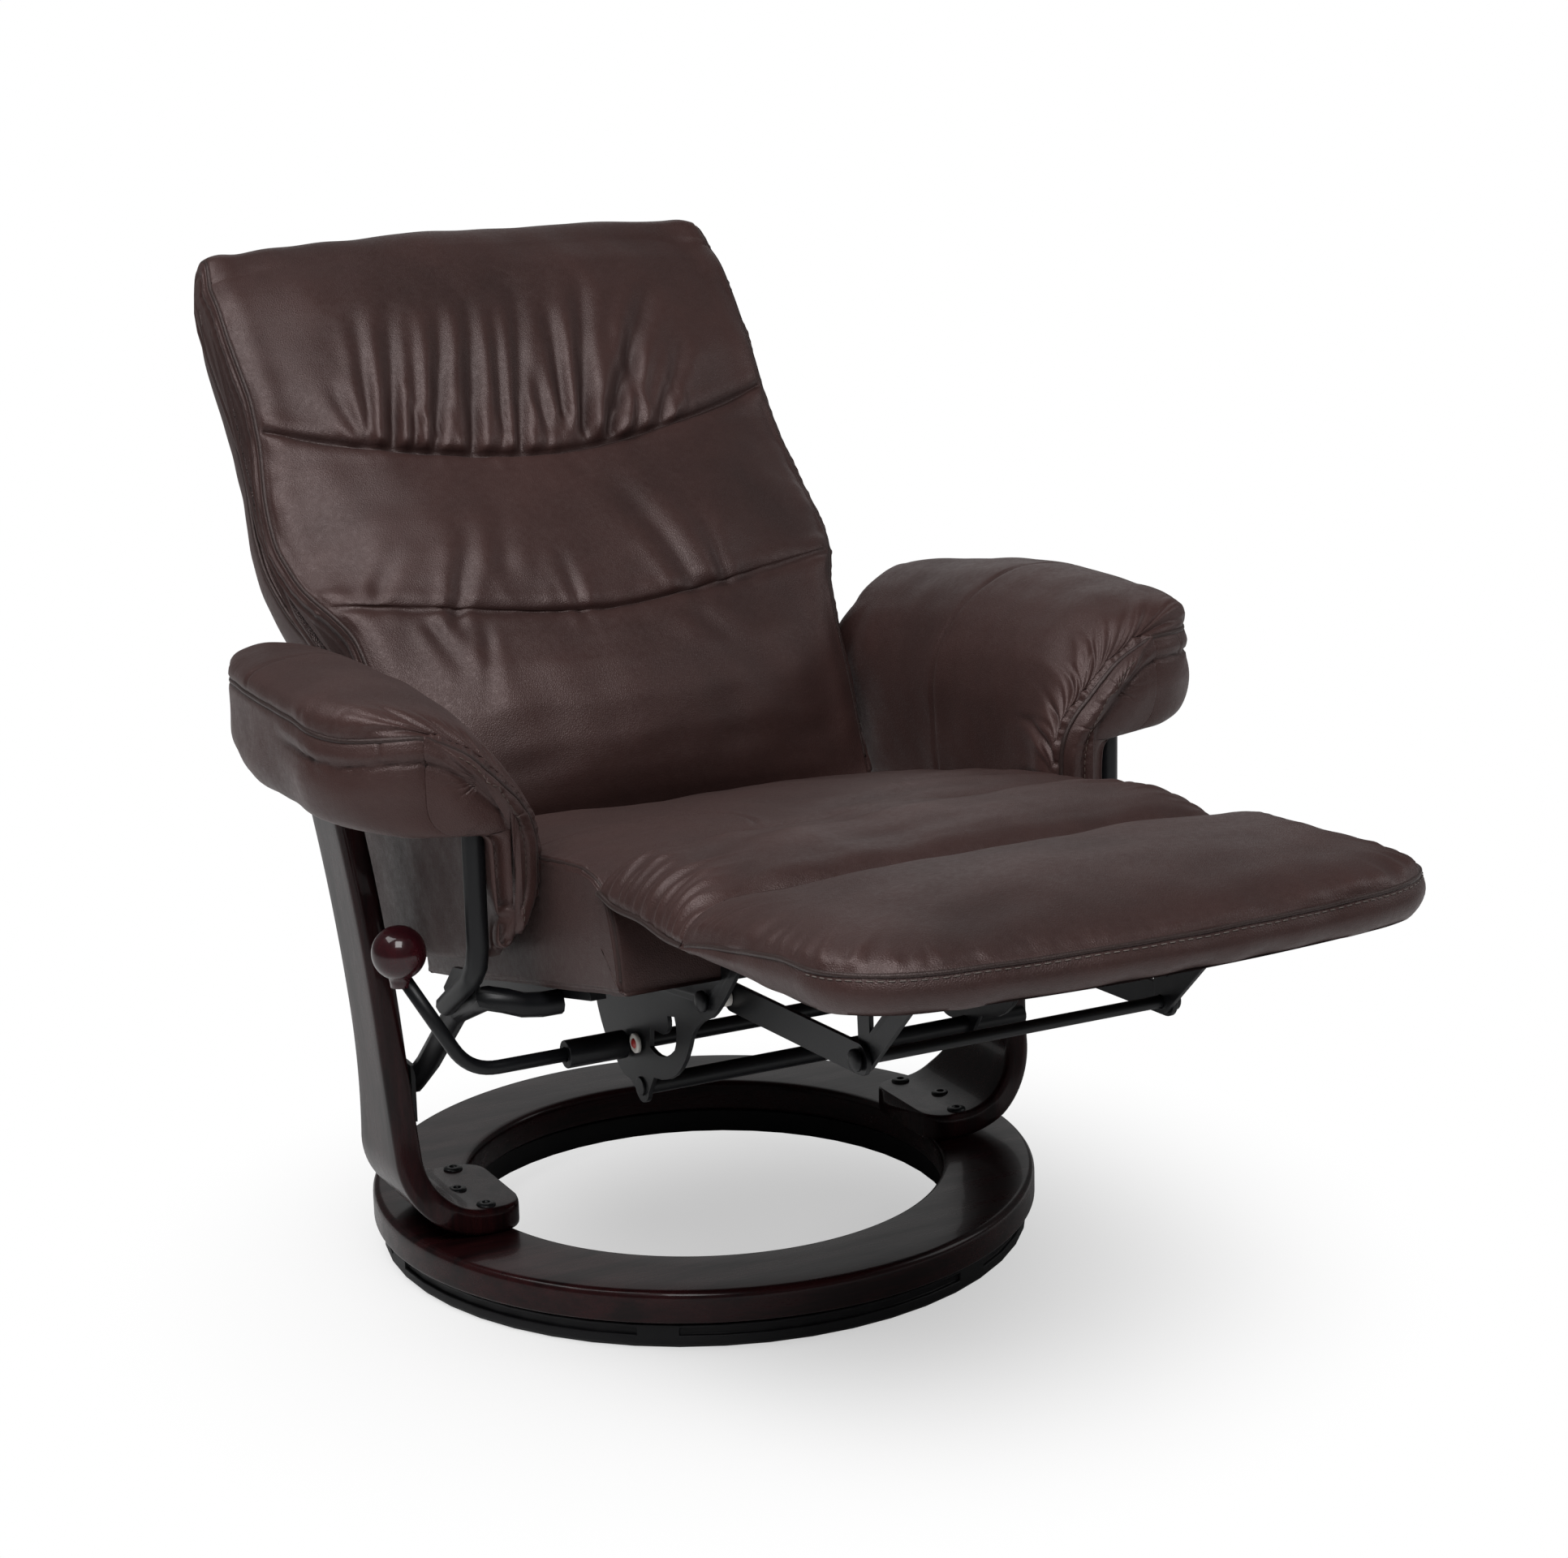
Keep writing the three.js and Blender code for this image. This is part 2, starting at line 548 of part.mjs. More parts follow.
// ---- side brackets: a tube from the upright to the slide rail, with the arm post and a web plate welded on
function sideBracket() {
  const wall = uprightX - PLY_T + 1;
  const lugX = skirtOuter + 1;
  const [endY, endZ] = toWorld(SLIDE_S0 + 66, slideBottom - 3);
  const arm = tube([
    [wall - 14, -4, BRACKET_Z0 + 26], [wall - 14, -44, BRACKET_Z0 + 56], [wall - 10, endY + 77, endZ - 20],
    [wall - 10, endY, endZ + 15],
    [slideX + SLIDE_W + 30, endY, endZ], [slideX + SLIDE_W + GAP, endY, endZ],
  ], TUBE_R, 15, 18, 5);
  const foot = box(wall - 5, wall - 1, UPRIGHT_TOP_Y0 + 6, UPRIGHT_TOP_Y1 + 1, BRACKET_Z0, BRACKET_Z0 + BRACKET_H);
  const post = tube([
    [postX, endY + 62, endZ - 8], [postX, POST_Y, endZ + 44], [postX, POST_Y, boardBottom - GAP - 1],
  ], POST_R, 24, 12, 5);
  const cap = box(postX, postX + 40, POST_Y - 3, POST_Y + 24, boardBottom - GAP - 4, boardBottom - GAP);
  const web = slab('x', [
    [endY + 4, endZ + 10], [endY + 64, endZ - 22], [endY + 80, endZ + 2], [endY + 56, endZ + 26],
    [endY + 14, endZ + 34],
  ], lugX, lugX + 5);
  return join(arm, foot, post, cap, web);
}
addPair('side_bracket', sideBracket(), BLACK_STEEL);

// ---- seat frame: four rails wrapped in the seat's leather, a webbing deck, and runners on the slide rails
const railOuter = SEAT_HALF - RAIL_INSET;
const railInner = railOuter - RAIL_W;
const railTop = RAIL_LIFT + RAIL_H;
const sideS0 = SEAT_S0 + RAIL_W + GAP;
const sideS1 = SEAT_S1 - RAIL_W - GAP;

function frontRail() {
  const corner = 14;
  const shape = new THREE.Shape();
  shape.moveTo(-railOuter, sideS0 - GAP);
  shape.lineTo(-railOuter, SEAT_S0 + corner);
  shape.quadraticCurveTo(-railOuter, SEAT_S0, -railOuter + corner, SEAT_S0);
  shape.lineTo(railOuter - corner, SEAT_S0);
  shape.quadraticCurveTo(railOuter, SEAT_S0, railOuter, SEAT_S0 + corner);
  shape.lineTo(railOuter, sideS0 - GAP);
  return slab('z', shape, RAIL_LIFT, railTop, { segments: 4 });
}
const rearInner = railInner - HINGE_PLATE_T - 2 * GAP;
add('seat_front_rail', frontRail(), LEATHER, seat);
add('seat_rear_rail', box(-rearInner, rearInner, sideS1, SEAT_S1 - 14, RAIL_LIFT, railTop), RAW_WOOD, seat);
addPair('seat_side_rail', box(railInner, railOuter, sideS0, SEAT_S1, RAIL_LIFT, railTop), LEATHER, seat);
addPair('seat_runner', box(slideX - 4, slideX + SLIDE_W + 4, SLIDE_S0 + 10, SEAT_S1 - 4, -2, RAIL_LIFT - GAP),
  BLACK_STEEL, seat);
add('seat_webbing', box(-railOuter + 6, railOuter - 6, SEAT_S0 + 6, SEAT_S1 - 8, railTop + GAP, railTop + GAP + WEB_T),
  CLOTH, seat);

// ---- seat cushion, with the padded lip that overhangs the front of the box
const seatPadBottom = railTop + WEB_T + 2 * GAP;

const [noseS, noseW] = toSeat(FOLD_Y + 1, FOLD_Z + FLAP_RISE + 2);
const [noseTopS, noseTopW] = toSeat(FOLD_Y + 1, FOLD_Z + FLAP_RISE + 2 + NOSE_T);

function seatCushion() {
  const side = new THREE.Shape();
  const rear = SEAT_S1 - 8;
  side.moveTo(rear, seatPadBottom);
  side.lineTo(rear, SEAT_T - 30);
  side.quadraticCurveTo(rear, SEAT_T, rear - 30, SEAT_T);
  side.lineTo(SEAT_S0 + 45, SEAT_T);
  side.quadraticCurveTo(SEAT_S0 - 20, SEAT_T - 3, noseTopS, noseTopW);
  side.lineTo(noseS, noseW);
  side.lineTo(SEAT_S0 - 3, SEAT_T - 48);
  side.lineTo(SEAT_S0 - 3, seatPadBottom);
  return slab('x', side, -SEAT_HALF, SEAT_HALF, { round: 9, segments: 6 });
}
add('seat_cushion', seatCushion(), LEATHER, seat);

// ---- mechanism side plates: hung from the runners' cross members, with a hook-shaped window, a lobe for the
// lever shaft, and a horn that reaches forward and up to the footrest's hinge line
const pivotA = toSeat(LINK_PIVOT_Y, LINK_PIVOT_Z);
const pivotS = toSeat(FOLD_Y, FOLD_Z);
const plateTop = RAIL_LIFT - GAP;

function mechanismPlate() {
  const shape = new THREE.Shape();
  shape.moveTo(26, plateTop);
  shape.lineTo(26, -22);
  shape.quadraticCurveTo(20, -60, LEVER_S + 28, LEVER_W - 12);
  shape.absarc(LEVER_S, LEVER_W, 30, -0.4, -1.5, true);
  shape.absarc(CROSS_TUBE_S, CROSS_TUBE_W, CROSS_TUBE_R + 6, -0.2, -2.8, true);
  shape.lineTo(-78, -88);
  shape.quadraticCurveTo(-128, -94, -158, -58);
  shape.quadraticCurveTo(-172, -36, pivotA[0] - 6, pivotA[1] - 14);
  shape.quadraticCurveTo(pivotA[0] - 30, pivotA[1] - 6, pivotS[0] + 6, pivotS[1] - 14);
  shape.absarc(pivotS[0], pivotS[1], 12, -Math.PI / 2.6, Math.PI / 1.35, true);
  shape.lineTo(SEAT_S0 - 12, 30);
  shape.lineTo(SEAT_S0 - 8, plateTop);
  const plate = slab('x', shape, plateX, plateX + PLATE_T, {
    holes: [[LEVER_S, LEVER_W, SHAFT_R + RUN], [CROSS_TUBE_S, CROSS_TUBE_W, CROSS_TUBE_R + GAP]],
  });
  const window = new THREE.Shape();
  window.moveTo(-78, -62);
  window.quadraticCurveTo(-100, -76, -128, -62);
  window.quadraticCurveTo(-140, -50, -136, -34);
  window.lineTo(-122, -34);
  window.quadraticCurveTo(-124, -48, -108, -50);
  window.lineTo(-84, -46);
  const studs = [pivotA, pivotS].map(([s, w]) => barX(s, w, STUD_R, linkX - 1.2, plateX + PLATE_T + 3, 12));
  const flange = box(plateX - 26, plateX + PLATE_T, SEAT_S0 + 6, 20, plateTop - PLATE_T, plateTop);
  return cut(join(plate, flange, ...studs), slab('x', window, plateX - 1, plateX + PLATE_T + 1));
}
addPair('mechanism_plate', mechanismPlate(), BLACK_STEEL, seat);
add('low_cross_tube', barX(CROSS_TUBE_S, CROSS_TUBE_W, CROSS_TUBE_R, -plateX - PLATE_T - 2, crossTubeX1, 16),
  BLACK_STEEL, seat);

// ---- nylon rollers on the main link's studs
function roller() {
  const body = barX(...pivotA, ROLLER_R, linkX + LINK_T + GAP, plateX - GAP, 16);
  return cut(body, barX(...pivotA, STUD_R + RUN, linkX, plateX + 1, 12));
}
addPair('link_roller', roller(), NYLON, seat);

// ---- back hinge: a plate on each side rail with its pin
function hingePlate() {
  const x0 = railInner - GAP - HINGE_PLATE_T;
  const shape = new THREE.Shape();
  shape.moveTo(SEAT_S1 - 110, RAIL_LIFT + 4);
  shape.lineTo(SEAT_S1 - 14, RAIL_LIFT + 4);
  shape.absarc(HINGE_S, HINGE_W, 13, -0.6, Math.PI, false);
  shape.lineTo(SEAT_S1 - 8, railTop - 4);
  shape.lineTo(SEAT_S1 - 110, railTop - 4);
  const plate = slab('x', shape, x0, x0 + HINGE_PLATE_T);
  return join(plate, barX(HINGE_S, HINGE_W, HINGE_PIN_R, x0 - 8, x0 + HINGE_PLATE_T, 14));
}
addPair('back_hinge_plate', hingePlate(), BLACK_STEEL, seat);

// ---------------------------------------------------------------- back coordinates
// y is the thickness (front is negative) and z runs up the back, from the hinge pin.
const [hingeY, hingeZ] = toWorld(HINGE_S, HINGE_W);
const back = new THREE.Group();
back.position.set(0, hingeY, hingeZ);
back.rotation.x = -RECLINE;
chair.add(back);

const frameFront = -BACK_FRAME_T / 2 - 2;
const frameRear = frameFront + BACK_FRAME_T;
const padRear = frameFront - GAP;
const railX1 = railInner - HINGE_PLATE_T - 3 * GAP;

// ---- back frame: a steel rail on each side with the hinge eye at its foot, and two wooden cross rails
function backRail() {
  const eyeX = railX1 - HINGE_PLATE_T;
  const eye = new THREE.Shape();
  eye.absarc(0, 0, 11, Math.PI, Math.PI * 2, false);
  eye.lineTo(frameRear, 60);
  eye.lineTo(frameRear, BACK_PAD_V0 + 90);
  eye.lineTo(frameFront, BACK_PAD_V0 + 90);
  eye.lineTo(frameFront, 60);
  const plate = slab('x', eye, eyeX, railX1, { holes: [[0, 0, HINGE_PIN_R + RUN]], segments: 10 });
  return join(plate, box(railX1 - BACK_RAIL_W, railX1, frameFront, frameRear, BACK_PAD_V0 + 16, BACK_TOP_V - BACK_TOP_INSET));
}
function backCrossRail(v) {
  const half = railX1 - BACK_RAIL_W - GAP;
  return box(-half, half, frameFront, frameRear, v, v + CROSS_RAIL_H);
}
addPair('back_side_rail', backRail(), BLACK_STEEL, back);
add('back_bottom_rail', backCrossRail(BACK_PAD_V0 + 18), RAW_WOOD, back);
add('back_top_rail', backCrossRail(BACK_TOP_V - BACK_TOP_INSET - CROSS_RAIL_H - 2), RAW_WOOD, back);

// ---- back cushion: three padded panels, narrower between the arms
function backPanel(profile, half, round = 9) {
  return slab('x', profile, -half, half, { round, segments: 6 });
}
function lowerPanel() {
  const side = new THREE.Shape();
  side.moveTo(padRear, BACK_PAD_V0);
  side.lineTo(padRear, BACK_STEP_V - GAP);
  side.lineTo(-STEP_N, BACK_STEP_V - GAP);
  side.bezierCurveTo(-STEP_N - 11, BACK_STEP_V - 66, -STEP_N + 37, BACK_PAD_V0 + 42, -24, BACK_PAD_V0 + 3);
  side.lineTo(-20, BACK_PAD_V0);
  return backPanel(side, backLowHalf, 3);
}
function lumbarPanel() {
  const side = new THREE.Shape();
  side.moveTo(padRear, BACK_STEP_V + GAP);
  side.lineTo(padRear, BACK_SEAM_V - GAP);
  side.lineTo(-SEAM_N, BACK_SEAM_V - GAP);
  side.quadraticCurveTo(-STEP_N - 15, (BACK_STEP_V + BACK_SEAM_V) / 2, -STEP_N, BACK_STEP_V + GAP);
  return backPanel(side, BACK_HALF);
}
function headPanel() {
  const side = new THREE.Shape();
  side.moveTo(padRear, BACK_SEAM_V + GAP);
  side.lineTo(padRear, BACK_TOP_V - 16);
  side.quadraticCurveTo(padRear - 4, BACK_TOP_V, -40, BACK_TOP_V);
  side.lineTo(32 - HEAD_N, BACK_TOP_V);
  side.quadraticCurveTo(2 - HEAD_N, BACK_TOP_V - 2, -HEAD_N, BACK_TOP_V - 38);
  side.quadraticCurveTo(-HEAD_N - 10, BACK_SEAM_V + 90, -SEAM_N, BACK_SEAM_V + GAP);
  return backPanel(side, BACK_HALF);
}
add('back_lower_panel', lowerPanel(), LEATHER, back);
add('back_lumbar_panel', lumbarPanel(), LEATHER, back);
add('back_head_panel', headPanel(), LEATHER, back);

// ---- outer back: a leather-covered shell that is deepest behind the lumbar panel
function backShell() {
  const front = frameRear + GAP;
  const side = new THREE.Shape();
  side.moveTo(front, BACK_PAD_V0 + 4);
  side.lineTo(SHELL_EDGE_N, BACK_PAD_V0 + 4);
  side.bezierCurveTo(SHELL_N - 8, BACK_STEP_V - 138, SHELL_N + 2, BACK_STEP_V - 8, SHELL_N, BACK_SEAM_V - 84);
  side.bezierCurveTo(SHELL_N - 2, BACK_SEAM_V + 46, SHELL_N - 10, BACK_TOP_V - 120, SHELL_EDGE_N, BACK_TOP_V - 76);
  side.lineTo(front, BACK_TOP_V - 26);
  const face = new THREE.Shape();
  const low = backLowHalf - 4;
  const high = BACK_HALF;
  face.moveTo(-low, BACK_PAD_V0 - 20);
  face.lineTo(low, BACK_PAD_V0 - 20);
  face.lineTo(low, BACK_STEP_V);
  face.lineTo(high, BACK_STEP_V + 26);
  face.lineTo(high, BACK_TOP_V - 50);
  face.quadraticCurveTo(high, BACK_TOP_V, high - 40, BACK_TOP_V);
  face.lineTo(40 - high, BACK_TOP_V);
  face.quadraticCurveTo(-high, BACK_TOP_V, -high, BACK_TOP_V - 50);
  face.lineTo(-high, BACK_STEP_V + 26);
  face.lineTo(-low, BACK_STEP_V);
  return common(slab('x', side, -BACK_HALF, BACK_HALF, { segments: 8 }), slabY(face, front - 1, SHELL_N + 8, { segments: 6 }));
}
add('back_shell', backShell(), LEATHER, back);

// ---------------------------------------------------------------- footrest
// f runs forwards (-Y) and w up from the fold line, in level axes.
const foot = new THREE.Group();
foot.position.set(0, FOLD_Y, FOLD_Z);
chair.add(foot);
const padRise = FLAP_RISE + 6;

function footrestFlap() {
  return slab('x', [
    [-2, FLAP_RISE], [-2, FLAP_RISE + FLAP_T], [4 - FLAP_L, FLAP_RISE + FLAP_T + 6], [4 - FLAP_L, FLAP_RISE + 4],
  ], -SEAT_HALF, SEAT_HALF);
}
add('footrest_flap', footrestFlap(), LEATHER, foot);

// The pad, its board and the arms tilt up a little from the end of the flap.
const padGroup = new THREE.Group();
padGroup.position.set(0, -FLAP_L - 2, padRise);
padGroup.rotation.x = -PAD_TILT;
foot.add(padGroup);

function padOutline(inset) {
  const half = SEAT_HALF + PAD_OVERHANG - inset;
  const front = -PAD_L + inset;
  const corner = PAD_CORNER - inset * 0.5;
  const bow = PAD_BOW;
  const shape = new THREE.Shape();
  shape.moveTo(-half, -inset);
  shape.lineTo(-half, front + bow + corner * 0.6);
  shape.quadraticCurveTo(-half, front + bow * 0.8, -half + corner, front + bow * 0.5);
  shape.quadraticCurveTo(0, front - bow * 0.5, half - corner, front + bow * 0.5);
  shape.quadraticCurveTo(half, front + bow * 0.8, half, front + bow + corner * 0.6);
  shape.lineTo(half, -inset);
  return shape;
}
add('footrest_board', slab('z', padOutline(BOARD_INSET), 0, BOARD_T, { segments: 5 }), RAW_WOOD, padGroup);
add('footrest_pad', slab('z', padOutline(0), BOARD_T + GAP, BOARD_T + GAP + PAD_T, { round: 9, segments: 6 }),
  LEATHER, padGroup);

// ---- footrest linkage: main links, stays and arms form a parallelogram with the side plates
const worldA = [LINK_PIVOT_Y, LINK_PIVOT_Z];
const worldS = [FOLD_Y, FOLD_Z];
const worldJ = [LINK_PIVOT_Y - LINK_REACH, LINK_PIVOT_Z + LINK_RISE];
const worldB = [worldJ[0] + worldS[0] - worldA[0], worldJ[1] + worldS[1] - worldA[1]];
const linkX1 = linkX + LINK_T;
const stayX1 = linkX - GAP;
const stayX0 = stayX1 - LINK_T;

function mainLink() {
  return linkBar(worldA, worldJ, LINK_W, linkX, linkX1, STUD_R + RUN, ROD_R + GAP);
}

function footrestArm() {
  const bar = linkBar(worldS, worldB, 20, linkX, linkX1, 0, 0);
  const boardUnder = (f) => FOLD_Z + padRise + (f - FLAP_L - 2) * Math.tan(PAD_TILT) - GAP - 0.2;
  const [f0, f1] = [FLAP_L + 46, PAD_L + 18];
  const web = slab('x', [
    [FOLD_Y - f0, boardUnder(f0)], [FOLD_Y - f0 + 6, worldB[1] - 6], [worldB[0], worldB[1] - 6],
    [FOLD_Y - f1, boardUnder(f1) - 10], [FOLD_Y - f1, boardUnder(f1)],
  ], linkX, linkX1);
  const flange = slab('x', [
    [FOLD_Y - f0, boardUnder(f0) - 3], [FOLD_Y - f1, boardUnder(f1) - 3],
    [FOLD_Y - f1, boardUnder(f1)], [FOLD_Y - f0, boardUnder(f0)],
  ], linkX, linkX + 24);
  const pivots = [barX(...worldB, ROD_R + 1, linkX - 1, linkX1 + 1, 16), barX(...worldS, STUD_R + RUN, linkX - 1, linkX1 + 1, 16)];
  return cut(join(bar, web, flange), ...pivots);
}

// The stay carries a stub at its top end, which turns with clearance in the footrest arm.
function stay() {
  const arm = linkBar(worldJ, worldB, 20, stayX0, stayX1, 0, 0);
  const [jy, jz] = worldJ;
  const leg = slab('x', [
    [jy - 9, jz], [jy + 9, jz], [jy + 12, jz + 60], [jy + 4, jz + 78], [jy - 8, jz + 78], [jy - 8, jz + 60],
  ], stayX0, stayX1);
  const stub = barX(...worldB, ROD_R, stayX0, linkX1 + 3, 16);
  return cut(join(arm, leg, stub), barX(...worldJ, ROD_R + RUN, stayX0 - 1, stayX1 + 1, 16));
}
addPair('footrest_arm', footrestArm(), BLACK_STEEL);
addPair('main_link', mainLink(), BLACK_STEEL);
addPair('stay', stay(), BLACK_STEEL);
add('link_cross_rod', barX(...worldJ, ROD_R, -linkX1 - 3, linkX1 + 3, 16), BLACK_STEEL);

// ---------------------------------------------------------------- release lever
const lever = new THREE.Group();
const [leverY, leverZ] = toWorld(LEVER_S, LEVER_W);
lever.position.set(0, leverY, leverZ);
chair.add(lever);

// The lock cam is keyed to the shaft inside the lever-side plate, so the two turn as one.
function leverShaft() {
  const cam = slab('x', [
    [-12, -10], [4, -14], [14, 0], [12, 22], [-6, 34], [-26, 40], [-30, 32], [-14, 22],
  ], -plateX + 2, -plateX + 6);
  const socket = barX(0, 0, SOCKET_R, socketX0, -plateX - PLATE_T - 2, 20);
  const shaft = barX(0, 0, SHAFT_R, -plateX - PLATE_T - 3, plateX + PLATE_T + 6);
  return cut(join(socket, shaft, cam), barX(0, 0, LEVER_ROD_R + GAP, socketX0 - 1, socketX0 + 30));
}
function leverRod() {
  return tube([[socketX0 + 29, 0, 0], [leverBendX, 0, 0], [knobX + 5, 4, KNOB_RISE - KNOB_R - 4]], LEVER_ROD_R, 16, 16, 6);
}
function leverKnob() {
  const neck = 10;
  const profile = [[0, -KNOB_R - 8], [neck - 2, -KNOB_R - 8], [neck, -KNOB_R + 1]];
  for (let i = 0; i <= 9; i += 1) {
    const angle = -Math.PI / 2 + 0.5 + ((Math.PI - 0.5) * i) / 9;
    profile.push([i === 9 ? 0 : KNOB_R * Math.cos(angle), KNOB_R * Math.sin(angle)]);
  }
  const knob = turned(profile, 20);
  const lean = Math.atan2(knobX - leverBendX, KNOB_RISE);
  knob.rotateY(lean);
  knob.translate(knobX, 5, KNOB_RISE);
  return knob;
}
add('lever_shaft', leverShaft(), BLACK_STEEL, lever);
add('lever_rod', cut(leverRod(), leverKnob()), BLACK_STEEL, lever);
add('lever_knob', leverKnob(), WOOD, lever);

// ---------------------------------------------------------------- origin at the bottom centre of the box
const bounds = new THREE.Box3().setFromObject(chair, true);
const centre = bounds.getCenter(new THREE.Vector3());
chair.position.set(-centre.x, -centre.y, -bounds.min.z);
chair.updateMatrixWorld(true);

export default chair;
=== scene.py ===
import json
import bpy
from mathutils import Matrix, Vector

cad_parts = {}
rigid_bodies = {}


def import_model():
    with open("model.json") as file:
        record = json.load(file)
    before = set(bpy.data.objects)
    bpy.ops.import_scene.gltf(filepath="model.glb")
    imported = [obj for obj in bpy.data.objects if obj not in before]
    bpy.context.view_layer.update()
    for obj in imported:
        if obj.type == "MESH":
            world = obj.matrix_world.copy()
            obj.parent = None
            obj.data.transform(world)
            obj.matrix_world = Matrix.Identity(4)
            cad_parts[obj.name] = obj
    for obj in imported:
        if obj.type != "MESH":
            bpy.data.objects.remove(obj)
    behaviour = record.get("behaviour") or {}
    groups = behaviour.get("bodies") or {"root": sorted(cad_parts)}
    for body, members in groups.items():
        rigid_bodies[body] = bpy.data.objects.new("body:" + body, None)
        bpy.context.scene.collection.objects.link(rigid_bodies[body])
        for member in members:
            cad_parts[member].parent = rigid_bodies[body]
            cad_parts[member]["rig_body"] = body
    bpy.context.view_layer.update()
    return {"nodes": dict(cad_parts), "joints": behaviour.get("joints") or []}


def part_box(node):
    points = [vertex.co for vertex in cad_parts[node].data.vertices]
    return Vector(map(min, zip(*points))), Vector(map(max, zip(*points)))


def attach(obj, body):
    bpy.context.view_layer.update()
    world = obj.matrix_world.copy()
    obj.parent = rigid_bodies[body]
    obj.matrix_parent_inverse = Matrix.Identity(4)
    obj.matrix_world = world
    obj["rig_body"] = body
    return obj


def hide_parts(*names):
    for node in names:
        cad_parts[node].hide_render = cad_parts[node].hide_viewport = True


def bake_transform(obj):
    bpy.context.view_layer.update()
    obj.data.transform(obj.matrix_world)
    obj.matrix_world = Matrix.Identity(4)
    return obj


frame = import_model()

from types import SimpleNamespace

import bmesh
import bpy
import numpy as np
from mathutils import Matrix

# ---------------------------------------------------------------- studio
# A white floor that keeps the chair's shadow and fades to plain white, four soft lamps, and a camera at
# standing height in front of the sitter's right arm.
camera = bpy.data.objects.new("camera", bpy.data.cameras.new("camera"))
camera.data.lens = 78.73
camera.data.sensor_width = 36
turn, down, roll = np.radians([-26.64, 14.61, -1.39])
forward = np.array([-np.sin(turn) * np.cos(down), np.cos(turn) * np.cos(down), -np.sin(down)])
level = np.array([np.cos(turn), np.sin(turn), 0])
upward = np.cross(level, forward)
side_axis = level * np.cos(roll) + upward * np.sin(roll)
up_axis = upward * np.cos(roll) - level * np.sin(roll)
camera.matrix_world = Matrix([
    [*row, place] for row, place in zip(np.stack([side_axis, up_axis, -forward], 1), (-1.263, -2.587, 1.196))
] + [[0, 0, 0, 1]])
bpy.context.scene.collection.objects.link(camera)
bpy.context.scene.camera = camera
bpy.context.scene.view_settings.view_transform = "Standard"


def lamp(name, place, aim, size, watts):
    """A square area lamp at a place, turned to face a point."""
    light = bpy.data.lights.new(name, "AREA")
    light.size = size
    light.energy = watts
    holder = bpy.data.objects.new(name, light)
    away = np.array(place) - np.array(aim)
    z = away / np.linalg.norm(away)
    x = np.cross([0, 0, 1.0], z)
    x /= np.linalg.norm(x)
    turned = np.stack([x, np.cross(z, x), z], 1)
    holder.matrix_world = Matrix([[*row, at] for row, at in zip(turned, place)] + [[0, 0, 0, 1]])
    bpy.context.scene.collection.objects.link(holder)


lamp("key_lamp", (-1.0, -2.1, 3.1), (0, -0.1, 0.5), 1.6, 78)
lamp("top_lamp", (-1.4, 0.3, 3.0), (0, 0, 0.5), 1.6, 44)
lamp("side_lamp", (2.9, -1.0, 1.9), (0, 0, 0.4), 1.5, 14)
lamp("back_lamp", (1.3, 2.6, 1.5), (0, -0.2, 0.5), 2.0, 5)


def shader(name):
    """A new material, its nodes, its links and its Principled shader."""
    material = bpy.data.materials.new(name)
    material.use_nodes = True
    nodes = material.node_tree.nodes
    return material, nodes, material.node_tree.links, nodes["Principled BSDF"]


world = bpy.data.worlds.new("studio")
world.use_nodes = True
bpy.context.scene.world = world
sky, sky_links = world.node_tree.nodes, world.node_tree.links
fill = sky["Background"]
fill.inputs["Color"].default_value = (1, 1, 1, 1)
fill.inputs["Strength"].default_value = 0.12
white = sky.new("ShaderNodeBackground")
white.inputs["Color"].default_value = (1, 1, 1, 1)
white.inputs["Strength"].default_value = 1.0
path = sky.new("ShaderNodeLightPath")
either = sky.new("ShaderNodeMath")
either.operation = "MAXIMUM"
sky_mix = sky.new("ShaderNodeMixShader")
sky_links.new(path.outputs["Is Camera Ray"], either.inputs[0])
sky_links.new(path.outputs["Is Transmission Ray"], either.inputs[1])
sky_links.new(either.outputs[0], sky_mix.inputs[0])
sky_links.new(fill.outputs[0], sky_mix.inputs[1])
sky_links.new(white.outputs[0], sky_mix.inputs[2])
sky_links.new(sky_mix.outputs[0], sky["World Output"].inputs["Surface"])

floor_mesh = bpy.data.meshes.new("floor")
floor_mesh.from_pydata([(-9, -9, 0), (9, -9, 0), (9, 9, 0), (-9, 9, 0)], [], [(0, 1, 2, 3)])
floor = bpy.data.objects.new("floor", floor_mesh)
bpy.context.scene.collection.objects.link(floor)
floor_material, nodes, links, principled = shader("floor_white")
principled.inputs["Base Color"].default_value = (0.86, 0.86, 0.86, 1)
principled.inputs["Roughness"].default_value = 0.9
principled.inputs["Specular IOR Level"].default_value = 0.1
where = nodes.new("ShaderNodeTexCoord")
distance = nodes.new("ShaderNodeVectorMath")
distance.operation = "LENGTH"
fade = nodes.new("ShaderNodeMapRange")
fade.inputs["From Min"].default_value = 0.10
fade.inputs["From Max"].default_value = 0.62
fade.inputs["To Min"].default_value = 0.5
fade.interpolation_type = "SMOOTHSTEP"
seen = nodes.new("ShaderNodeLightPath")
blend_to_white = nodes.new("ShaderNodeMath")
blend_to_white.operation = "MULTIPLY"
glow = nodes.new("ShaderNodeEmission")
glow.inputs["Color"].default_value = (1, 1, 1, 1)
glow.inputs["Strength"].default_value = 1.0
floor_mix = nodes.new("ShaderNodeMixShader")
links.new(where.outputs["Object"], distance.inputs[0])
links.new(distance.outputs["Value"], fade.inputs["Value"])
links.new(fade.outputs["Result"], blend_to_white.inputs[0])
links.new(seen.outputs["Is Camera Ray"], blend_to_white.inputs[1])
